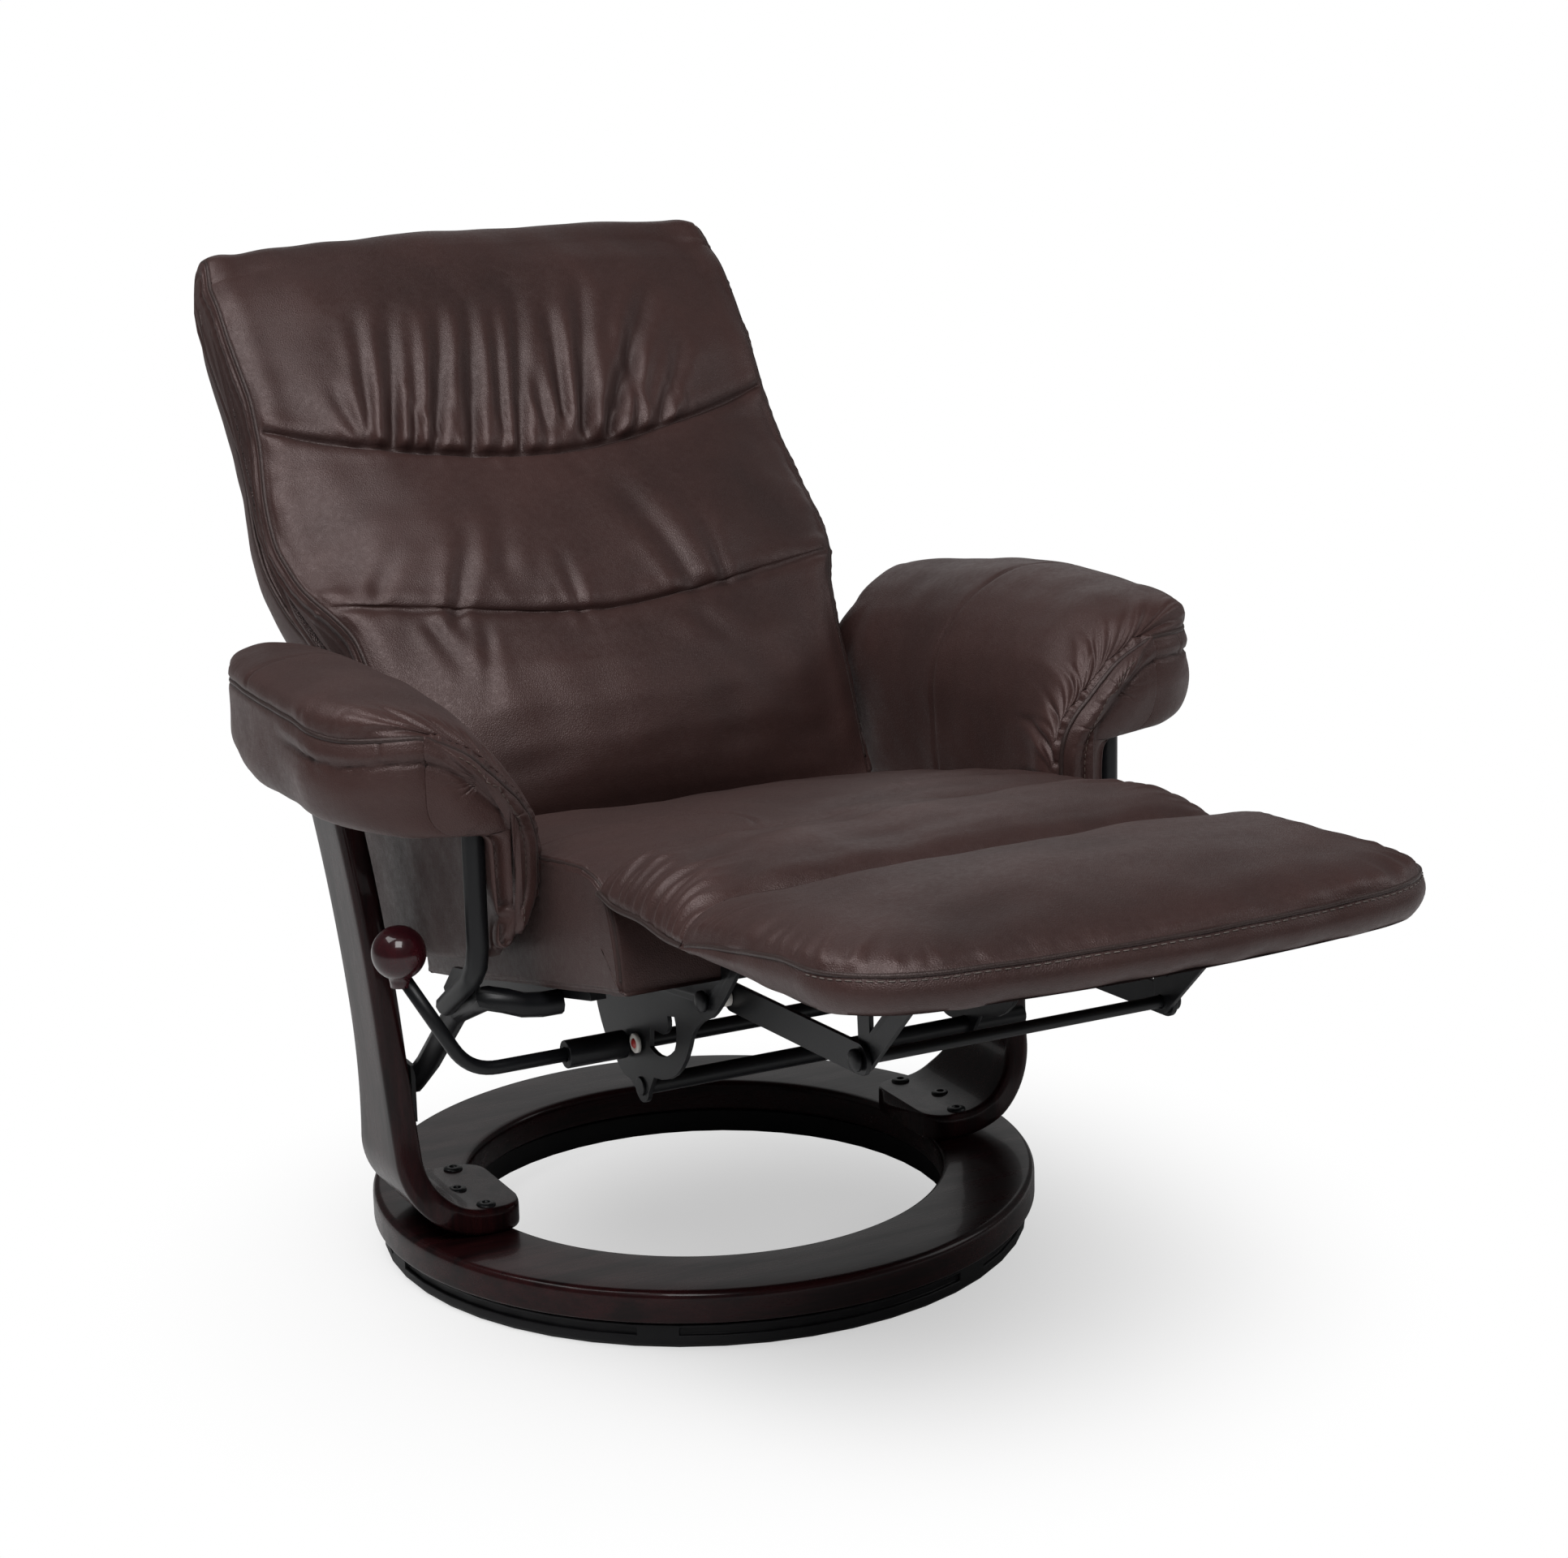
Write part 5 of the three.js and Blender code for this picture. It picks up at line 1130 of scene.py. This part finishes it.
relief += ripple(pad_x, above_high.clip(0), 0.017, 0.0032, 0.055, 31, -0.18, 0.19) * in_head * middle
relief += ripple(pad_x, above_high.clip(0), 0.03, 0.0012, 0.12, 35, -0.18, 0.19) * in_head * middle
relief += ripple(pad_x, -above_high, 0.022, 0.0009, 0.03, 32, -0.2, 0.2) * (above_high < 0) * middle
relief += ripple(pad_x, above_low, 0.026, 0.0013, 0.035, 33, -0.22, 0.22) * (above_low > 0)
relief += ripple(pad_x, -above_low, 0.03, 0.0010, 0.030, 34, -0.2, 0.2) * (above_low < 0)
rim = half_width(pad_v) - np.abs(pad_x)
relief += ripple(pad_v, rim, 0.017, 0.0009, 0.032, 36, 0.30, 0.46)
relief += ripple(pad_v, rim, 0.04, 0.0007, 0.05, 37, 0.1, 0.66) + 0.002 * bell(rim - 0.02, 0.012)
relief *= front_of * np.clip((pad_v - 0.06) / 0.03, 0, 1)
all_relief = np.zeros(rows.shape[:2])
all_relief[cap_rows:-cap_rows] = relief
cap_v = (rows[..., 1] - hinge[1] + rows[..., 2] - hinge[2]) * half_root
between = np.zeros(len(rows) - 2 * len(gusset_insets))
depth_in = np.concatenate([gusset_insets[::-1], between, gusset_insets])[:, None]
ruffle = ripple(cap_v, np.abs(depth_in - 0.013), 0.011, 0.0010, 0.02, 38, 0.1, 0.68)
ruffle += groove(depth_in - 0.0165, 0.0022, 0.002) + swell(rows, 0.05, 0.0008, 41)
all_relief += ruffle * (depth_in > 0)
all_relief[[first_edge, last_edge]] -= 0.0022
rows = rows + normals_of(rows) * all_relief[..., None]
back_cushion = skin("back_cushion", rows, brown, "back",
                    ["back_lower_panel", "back_lumbar_panel", "back_head_panel"], fold=all_relief)
for word, row in (("left", last_edge), ("right", first_edge)):
    line = softened(rows[row, 3:front_count - 3])
    swept(word + "_back_welt", line, 0.0027, welt_brown, "back", sides=10)

# ---------------------------------------------------------------- outer back
# A smooth leather-covered shell over the back of the frame, deepest behind the lumbar panel. It wraps round
# the frame's sides to the gusset, where it ends in a piped edge.
shell_foot, shell_top = 0.056, 0.684
v_rows = np.concatenate([np.linspace(shell_foot, 0.60, 84), np.linspace(0.60, shell_top, 26)[1:]])
shell_half = half_width(v_rows) + 0.0012 - 0.030 * np.clip((v_rows - 0.645) / 0.042, 0, 1) ** 2.2
shell_front = eased(v_rows, [0.05, 0.20, 0.275, 0.328, 0.395, 0.461, 0.51, 0.569, 0.624, 0.667, 0.69],
                    [0.012, 0.016, 0.024, 0.018, 0.013, 0.012, 0.017, 0.026, 0.034, 0.052, 0.064], 0.012)
knots = [0.05, 0.08, 0.12, 0.16, 0.20, 0.268, 0.34, 0.40, 0.46, 0.52, 0.57, 0.61, 0.64, 0.665, 0.69]
shell_rear = eased(v_rows, knots, [-0.032, -0.046, -0.058, -0.067, -0.072, -0.0765, -0.0775, -0.076, -0.073,
                                   -0.067, -0.059, -0.049, -0.036, -0.018, 0.046], 0.010)
swing = np.linspace(0, np.pi, 92)
wide = np.sign(np.cos(swing)) * np.abs(np.cos(swing)) ** 0.5
deep = np.concatenate([np.abs(np.sin(swing)) ** 0.62, np.zeros(30)])
shell_x = np.concatenate([wide, np.linspace(-0.985, 0.985, 30)])[None, :] * shell_half[:, None]
shell_n = shell_front[:, None] + (shell_rear - shell_front)[:, None] * deep[None, :]
shell_rows = back_place(shell_x, v_rows[:, None], shell_n)
spine_x = np.array([-0.15, 0.15])
up = back_place(0, 1, 0) - back_place(0, 0, 0)
foot_spine, top_spine = back_place(spine_x, shell_foot, -0.008), back_place(spine_x, shell_top, 0.052)
foot_cap = closing(shell_rows[0], -up, foot_spine, 0.006, [0.006, 0.010, 0.016])[::-1]
top_cap = closing(shell_rows[-1], up, top_spine, 0.004, [0.004, 0.006, 0.009])
shell_rows = np.concatenate([foot_cap, shell_rows, top_cap])
shell_relief = swell(shell_rows, 0.16, 0.0012, 51) + swell(shell_rows, 0.06, 0.0003, 52)
shell_rows = shell_rows + normals_of(shell_rows) * shell_relief[..., None]
outer_back = skin("outer_back", shell_rows, brown, "back", ["back_shell"], fold=shell_relief)
rim_line = np.concatenate([shell_rows[8:-8, 0], shell_rows[-8, 93:122], shell_rows[8:-8, 91][::-1]])
swept("outer_back_piping", softened(rim_line), 0.0024, welt_brown, "back", sides=10)

# ---------------------------------------------------------------- cloth between seat and back
# A strip of black lining cloth, sewn under the back cushion's lower edge and stapled to the seat's rear rail.
# It closes the gap over the hinge line.
lining_cloth = powder_coated("lining_cloth", (0.008, 0.008, 0.009), (0.016, 0.016, 0.017), 1800, 0.8, 0.92,
                             0.0001)
strip_x = np.linspace(-0.2, 0.2, 40)[:, None]
strip_t = np.linspace(0, 1, 30)
at_rail, at_cushion = np.array([middle_y + 0.046, 0.300]), np.array([hinge[1] + 0.040, hinge[2] + 0.062])
sag = 0.05 * strip_t * (1 - strip_t)
strip_line = at_rail + (at_cushion - at_rail) * strip_t[:, None] + (0.25, -0.2) * sag[:, None]
strip_loop = np.concatenate([strip_line + (-0.0012, 0.0012), strip_line[::-1] + (0.0012, -0.0012)])
strip_rows = np.stack([np.broadcast_to(axis, (40, 60)) for axis in (strip_x, *strip_loop.T)], -1)
strip_rows[..., 2] += 0.0015 * np.sin(strip_x * 60) * np.sin(np.pi * np.concatenate([strip_t, strip_t[::-1]]))
lining = skin("hinge_lining_cloth", strip_rows, lining_cloth, None)
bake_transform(lining)

# ---------------------------------------------------------------- seat
# An upholstered box: a wooden frame of four rails and a foam cushion under one leather cover. Flat boxings
# close its sides and meet the crowned top in a piped seam that drops down the front corners. Two curved
# seams and some soft folds cross the top in front.
slope = np.radians(13.1)


def seat_place(x, s, w):
    """A point of the seat, s back along its slope and w up from the frame's underside."""
    x, s, w = np.broadcast_arrays(x, s, w)
    return np.stack([x, middle_y - 0.149 + s * np.cos(slope) + w * np.sin(slope),
                     0.309 - s * np.sin(slope) + w * np.cos(slope)], -1)


def crease(x, y, line, width, depth, ends=0.03):
    """A soft crease on a polyline of (x, y) millimetres, faded over its ends: a bell-shaped valley between
    lips."""
    line = np.array(line, float) / 1000
    spot = np.stack(np.broadcast_arrays(x, y), -1)
    found = nearest(spot, line)
    off = np.linalg.norm(found - spot, axis=-1)
    from_ends = np.min([np.linalg.norm(found - end, axis=-1) for end in (line[0], line[-1])], 0)
    lip = 0.45 * bell(off - 2.2 * width, 1.3 * width)
    return depth * (lip - bell(off, width)) * np.clip(from_ends / ends, 0, 1)


# the seams and folds of the seat's top as (line, width, depth, ends)
SEAT_CREASES = [
    ([(-236, -176), (-196, -180), (-150, -184), (-113, -195), (-93, -212), (-83, -232), (-80, -262),
      (-82, -290), (-92, -318)], 0.0022, 0.0016, 0.02),
    ([(236, -172), (196, -178), (150, -184), (113, -195), (93, -212), (84, -236), (80, -262), (82, -300)],
     0.0022, 0.0012, 0.02),
    ([(-240, -262), (-190, -250), (-120, -246)], 0.012, 0.0016, 0.03),
    ([(-30, -285), (60, -268), (170, -272)], 0.016, 0.0022, 0.03),
    ([(110, -215), (190, -228), (236, -262)], 0.012, 0.0018, 0.03),
    ([(150, -150), (200, -120), (236, -60)], 0.014, 0.0014, 0.03),
]
seat_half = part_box("seat_cushion")[1].x
box_edge = 0.006
seat_u = np.linspace(-1, 1, 141)[:, None]
# the side outline as (s, w): up the front, back along the top, down the rear and forward underneath
outline = np.array([
    (-0.2335, 0.004), (-0.2365, 0.030), (-0.2350, 0.062), (-0.2290, 0.086), (-0.2150, 0.103),
    (-0.1950, 0.1125), (-0.1650, 0.1185), (-0.1200, 0.1230), (-0.0600, 0.1265), (0.0000, 0.1285),
    (0.1000, 0.1290), (0.1620, 0.1270), (0.1840, 0.1180), (0.1950, 0.1000), (0.1970, 0.0750),
    (0.2000, 0.0480), (0.2030, 0.0400), (0.2030, 0.0030), (0.2010, 0.0010), (0.1500, 0.0010),
    (0.0000, 0.0010), (-0.1500, 0.0010), (-0.2310, 0.0010)])
side_drop = np.interp(np.arange(len(outline)), [0, 2, 3, 4, 5, 6, 7, 12, 13, 15],
                      [0, 2, 6, 9, 11, 13, 15, 12, 4, 0]) / 1000


def smooth_loop(points, at):
    """Catmull-Rom spline through a closed loop of points, read at fractional indexes."""
    k = np.floor(at).astype(int)
    t = (at - k)[:, None]
    a, b, c, d = (points[(k + shift) % len(points)] for shift in (-1, 0, 1, 2))
    bend = (2 * a - 5 * b + 4 * c - d) * t ** 2 + (3 * b - a - 3 * c + d) * t ** 3
    return 0.5 * (2 * b + (c - a) * t + bend)


fine = np.linspace(0, len(outline), 232, endpoint=False)
profile = smooth_loop(np.column_stack([outline, side_drop]), fine)
run = run_along(profile[:, :2])
profile = np.stack([np.interp(np.linspace(0, run[-1], 236), run, axis) for axis in profile.T], -1)
along, up, drop = profile.T[:, None, :]
sink = drop * np.abs(seat_u) ** 5
seat_body = seat_place(seat_u * (seat_half - box_edge), along + 0.35 * sink * (along < -0.19), up - sink)
caps = []
for end, sign in ((0, -1), (-1, 1)):
    spine = seat_place(sign * (seat_half - box_edge), np.array([-0.200, 0.165]), 0.052)
    caps.append(closing(seat_body[end], np.array([sign, 0, 0]), spine, box_edge,
                        [box_edge, 0.0075, 0.010, 0.013, 0.018, 0.025, 0.034, 0.044], 0.001))
rows = np.concatenate([caps[0][::-1], seat_body, caps[1]])
first_edge, last_edge = len(caps[0]) - 3, -len(caps[0]) + 2
x_now, y_now = rows[..., 0], rows[..., 1] - middle_y
topside = 1 / (1 + np.exp(-(normals_of(rows)[..., 2] - 0.35) * 12))
relief = (swell(rows, 0.15, 0.0015, 61) + swell(rows, 0.06, 0.0005, 62)) * (0.35 + 0.65 * topside)
relief += topside * sum(crease(x_now, y_now, *fold) for fold in SEAT_CREASES)
edge_in = np.clip(seat_half - np.abs(x_now), 0, 1)
relief += ripple(y_now, edge_in, 0.021, 0.0012, 0.03, 63, -0.36, 0.0) * topside
relief[[first_edge, last_edge]] -= 0.0018
front_low = bell(rows[..., 2] - 0.345, 0.03) * (y_now < -0.35)
relief += front_low * ripple(x_now, np.abs(rows[..., 2] - 0.33), 0.05, 0.002, 0.06, 64, -0.23, 0.23)
rows = rows + normals_of(rows) * relief[..., None]
seat_cover = skin("seat_cover", rows, brown, "seat",
                  ["seat_cushion", "seat_front_rail", "left_seat_side_rail", "right_seat_side_rail"],
                  fold=relief)
rearmost = np.argmax(profile[:, 0])
for word, row in (("left", first_edge), ("right", last_edge)):
    line = softened(rows[row, 1:rearmost - 30])
    swept(word + "_seat_piping", line, 0.0019, welt_brown, "seat", sides=10)

# ---------------------------------------------------------------- footrest bridge
# A soft padded strip sewn to the seat's front and to the footrest pad. It covers the hinge between them. A
# welt runs along each of its lower edges, and the leather is gathered above the welt.
bridge_y = np.array([-0.316, -0.322, -0.334, -0.356, -0.39, -0.43, -0.465, -0.487, -0.500, -0.508, -0.515])
bridge_z = np.array([0.452, 0.463, 0.4705, 0.4765, 0.4815, 0.4850, 0.4855, 0.4825, 0.4770, 0.4690, 0.4560])
bridge_floor = 0.4335
low_edge = 0.4372
bridge_half = seat_half + 0.002
# the folds of the bridge's top as (line, width, depth, ends)
BRIDGE_CREASES = [
    ([(-246, -474), (-205, -436), (-165, -404), (-110, -380), (-59, -366), (20, -356), (87, -350),
      (150, -352)], 0.013, 0.0022, 0.05),
    ([(-240, -512), (-200, -490), (-150, -470), (-60, -452), (60, -440)], 0.016, 0.0014, 0.03),
    ([(246, -440), (190, -424), (110, -410), (20, -408)], 0.016, 0.0012, 0.03),
    ([(246, -395), (205, -390), (150, -380)], 0.009, 0.0018, 0.03),
]
course = run_along(np.stack([bridge_y, bridge_z], -1))
at_course = np.linspace(0, 1, 92) * course[-1]
top_y, top_z = eased(at_course, course, bridge_y, 0.006), eased(at_course, course, bridge_z, 0.006)
strip_y = np.concatenate([top_y, np.linspace(top_y[-1], top_y[0], 40)[1:-1]])
strip_z = np.concatenate([top_z, np.full(38, bridge_floor)])
bridge_u = np.sin(np.linspace(-1, 1, 151) * np.pi / 2 * 0.985)[:, None]
puff = (1 - np.abs(bridge_u) ** 8) ** 0.55
bulge = np.clip(strip_z[None, :] - low_edge, -0.004, 1)
bridge_x = np.broadcast_to(bridge_u * bridge_half, (len(bridge_u), len(strip_y)))
rear_line = np.interp(bridge_x[:, 0], [-0.246, -0.101, 0.011, 0.103, 0.179, 0.246],
                      [-0.340, -0.331, -0.314, -0.315, -0.325, -0.338])[:, None]
pull = (rear_line - top_y[0]) * np.clip((strip_y[None, :] + 0.42) / 0.1, 0, 1) ** 1.5
bridge_rows = np.stack([bridge_x, middle_y + strip_y[None, :] + pull, low_edge + bulge * puff], -1)
y_now = bridge_rows[..., 1] - middle_y
edge_in = bridge_half - np.abs(bridge_x) + 0.7 * (0.487 - bridge_rows[..., 2]).clip(0)
relief = swell(bridge_rows, 0.11, 0.0016, 71) + swell(bridge_rows, 0.05, 0.0006, 72)
relief += sum(crease(bridge_x, y_now, *fold) for fold in BRIDGE_CREASES)
relief += ripple(y_now, (edge_in - 0.03).clip(0), 0.0125, 0.0026, 0.030, 73, -0.515, -0.34)
relief += ripple(bridge_x, (y_now + 0.505).clip(0), 0.034, 0.0007, 0.030, 74, -0.23, 0.23)
relief += 0.002 * bell(edge_in - 0.045, 0.012)
relief *= (np.arange(len(strip_y)) < len(top_y)) * np.clip((bridge_rows[..., 2] - low_edge) / 0.006, 0, 1)
bridge_rows = bridge_rows + normals_of(bridge_rows) * relief[..., None]
bridge = skin("footrest_bridge", bridge_rows, brown, None, ["footrest_flap"], fold=relief)
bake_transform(bridge)
path_y = np.linspace(-0.346, -0.518, 60)
path_z = low_edge + 0.0012 * np.sin(path_y * 70) + 0.002 * bell(path_y + 0.35, 0.012)
for word, sign in (("left", 1), ("right", -1)):
    line = np.stack([np.full(60, sign * (bridge_half + 0.0006)), middle_y + path_y, path_z], -1)
    piece = swept(word + "_bridge_welt", line, 0.0025, welt_brown, None, sides=10)
    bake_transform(piece)

# ---------------------------------------------------------------- footrest pad
# A foam pad on a board, with a bowed front. The leather top is sewn to a narrow boxing with a welt and a
# line of light top-stitching just above it, and is gathered round the corners. The boxing narrows towards
# the bridge.
tilt = np.radians(3.4)
pad_low, pad_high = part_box("footrest_pad")
pad_half = (pad_high.x - pad_low.x) / 2 + 0.006
pad_length = 0.276
pad_back_y, pad_base_z = middle_y - 0.518, 0.440


def pad_place(x, f, h):
    """A point of the pad, f forward from its rear edge and h up from its underside, on its slightly raised
    plane."""
    x, f, h = np.broadcast_arrays(x, f, h)
    return np.stack([x, pad_back_y - f * np.cos(tilt) + h * np.sin(tilt),
                     pad_base_z + f * np.sin(tilt) + h * np.cos(tilt)], -1)


# plan outline: up one side, round the bowed front, down the other side and back along the rear
corner_f, rear_f = pad_length - 0.024, -0.006
turn_wide, turn_long, turn_out = 0.090, 0.072, 0.013
t = np.linspace(0, 1, 34)[:, None]
turn = ((1 - t) ** 2 * (-pad_half, corner_f - turn_long)
        + 2 * t * (1 - t) * (-pad_half - 0.003, corner_f + 0.006)
        + t ** 2 * (-pad_half + turn_wide, corner_f + turn_out))
side_f = np.linspace(rear_f, corner_f - turn_long, 60)
across = np.linspace(-pad_half + turn_wide, pad_half - turn_wide, 90)[1:-1]
bow = corner_f + turn_out + 0.012 * (1 - (across / (pad_half - turn_wide)) ** 2)
shown_edge = np.concatenate([
    np.stack([np.full(60, -pad_half), side_f], -1), turn[1:], np.stack([across, bow], -1),
    (turn * (-1, 1))[::-1], np.stack([np.full(59, pad_half), side_f[-2::-1]], -1)])
shown_count = len(shown_edge)
rear_edge = np.stack([np.linspace(pad_half, -pad_half, 92)[1:-1], np.full(90, rear_f)], -1)
loop = np.concatenate([shown_edge, rear_edge])
course = run_along(loop)
shown = (np.arange(len(loop)) < shown_count).astype(float)


def pad_top(spot):
    """The crowned top's height: rounded in from the sides and front, lowest along the rear, highest in the
    middle."""
    x, f = spot[..., 0], spot[..., 1]
    edge_away = np.linalg.norm(nearest(spot, shown_edge) - spot, axis=-1)
    welt = 0.003 + 0.025 * np.clip(f / 0.16, 0, 1) ** 0.8
    round_in = (1 - (1 - np.clip(edge_away / 0.055, 0, 1)) ** 2.3) ** 0.62
    toward_rear = 0.74 + 0.26 * np.sin(np.clip((f - rear_f) / 0.09, 0, 1) * np.pi / 2)
    arch = np.sin(np.clip((f - rear_f) / 0.27, 0, 1) * np.pi) ** 0.8
    crown = 0.016 * (1 - (x / pad_half) ** 2).clip(0) * arch
    return welt + (0.0455 * toward_rear - welt).clip(0) * round_in + crown, edge_away


edge_h = pad_top(loop)[0]
wall = []
for share in np.linspace(0, 1, 10):
    out = (0.0038 * np.sin(np.pi * share) - 0.0040 * (1 - share) ** 3) * shown
    grown = loop * (1 + out / np.linalg.norm(loop - (0, 0.13), axis=1))[:, None]
    wall.append(pad_place(grown[:, 0], grown[:, 1], edge_h * share))
# the top's rows: drawn towards a short line across the middle, then shrunk to its centre
reach = nearest(loop, np.array([(-0.150, 0.128), (0.150, 0.128)])) - loop
far = np.linalg.norm(reach, axis=1, keepdims=True)
first_in = (0.0004, 0.0012, 0.0025, 0.0042, 0.0065, 0.009, *np.linspace(0.012, 0.050, 18))
spots = [loop + reach * inset / far for inset in first_in]
for share in np.linspace(0, 1, 9)[1:]:
    spots.append(loop + reach * (0.050 + (far * 0.72 - 0.050) * share) / far)
spots += [(0, 0.128) + (spots[-1] - (0, 0.128)) * share for share in np.linspace(1, 0.02, 24)[1:]]
heights, away = (np.stack(found) for found in zip(*(pad_top(spot) for spot in spots)))
top_rows = pad_place(np.stack(spots)[..., 0], np.stack(spots)[..., 1], heights)
base = [pad_place(*(loop + reach / far * inset).T, 0.0) for inset in (0.10, 0.05, 0.012, 0.0045)]
rows = np.concatenate([np.stack(base), np.stack(wall), top_rows])
top_start = len(base) + len(wall)
welt_row = top_start - 1
along = np.broadcast_to(course[None, :], away.shape)
x_top, f_top = rows[top_start:, :, 0], (pad_back_y - rows[top_start:, :, 1])
corner = bell(np.abs(x_top) - 0.225, 0.07) * np.clip((f_top - 0.10) / 0.08, 0, 1)
rear_corner = bell(np.abs(x_top) - 0.235, 0.05) * bell(f_top - 0.01, 0.07)
front = np.clip((f_top - 0.17) / 0.05, 0, 1)
gathers = ripple(along, away, 0.0145, 0.0030, 0.026, 83, 0, course[-1]) * np.clip(corner + rear_corner, 0, 1)
gathers += ripple(along, away, 0.010, 0.0009, 0.014, 84, 0, course[-1]) * front
gathers += ripple(along, away, 0.05, 0.0012, 0.036, 85, 0, course[-1]) + groove(away, 0.004, 0.0020)
top_relief = swell(rows[top_start:], 0.14, 0.0014, 81) + swell(rows[top_start:], 0.05, 0.0004, 82)
top_relief += gathers * shown
boxing = slice(len(base), top_start)
relief = np.zeros(rows.shape[:2])
relief[top_start:] = top_relief * (1 - bell(away, 0.003))
relief[boxing] = 0.0006 * np.sin(course * 60) * np.linspace(0, 1, len(wall))[:, None]
relief[boxing] += swell(rows[boxing], 0.05, 0.0008, 86) * shown
rows = rows + normals_of(rows) * relief[..., None]
pad_cover = skin("footrest_pad_cover", rows, brown, "footrest", ["footrest_pad"], fold=relief)
line = softened(rows[welt_row, 2:shown_count - 2])
swept("footrest_pad_welt", line, 0.0020, welt_brown, "footrest", sides=10)
pale_thread = powder_coated("pale_thread", (0.10, 0.082, 0.073), (0.16, 0.132, 0.118), 2500, 0.5, 0.7,
                            0.00004)
sewn = (rows + normals_of(rows) * 0.0005)[welt_row - 1, 62:shown_count - 62]
stitches("footrest_top_stitching", sewn, 0.0075, 0.0050, 0.00045, pale_thread, "footrest")

# ---------------------------------------------------------------- rivets and bushings
# Domed rivet heads on the pivots' studs, and a white nylon washer with a red cap on the right side plate just
# ahead of the lever's socket.
red_cap = powder_coated("red_cap", (0.30, 0.012, 0.010), (0.38, 0.02, 0.016), 600, 0.3, 0.4, 0.00003)


def dome(radius, height):
    """A flat-backed rivet head: its edge is upright for a third of its height and then rounds over to the
    top."""
    turn = np.linspace(0, np.pi / 2 - 0.06, 8)
    over = np.stack([radius * np.cos(turn), height * (0.34 + 0.66 * np.sin(turn))], -1)
    return np.concatenate([[(radius * 0.3, -0.001), (radius, -0.001)], over])


PLATE_OUT, STAY_OUT = 0.161, 0.1395
for word, side in (("left", 1), ("right", -1)):
    for label, joint, face, owner in (("link", "link_fold", PLATE_OUT, "seat"),
                                      ("arm", "footrest_fold", PLATE_OUT, "seat"),
                                      ("stay", "stay_fold", STAY_OUT, "footrest_links")):
        turned(f"{word}_{label}_rivet", dome(0.0088, 0.0048) * (1, side),
               (side * face, *joint_at[joint][1:]), black_steel, "black_steel", owner, axis=0)
spot = np.array([-PLATE_OUT, -0.103, 0.264])
ring = np.array([(0.004, 0.001), (0.0085, 0.001), (0.0085, -0.0016), (0.0078, -0.0022), (0.0046, -0.0022),
                 (0.004, -0.0016)])
turned("plate_washer", ring, spot, nylon, "nylon", "seat", axis=0)
cap = dome(0.0044, 0.0034) * (1, -1)
turned("plate_washer_cap", cap, spot - (0.0006, 0, 0), red_cap, "nylon", "seat", axis=0)
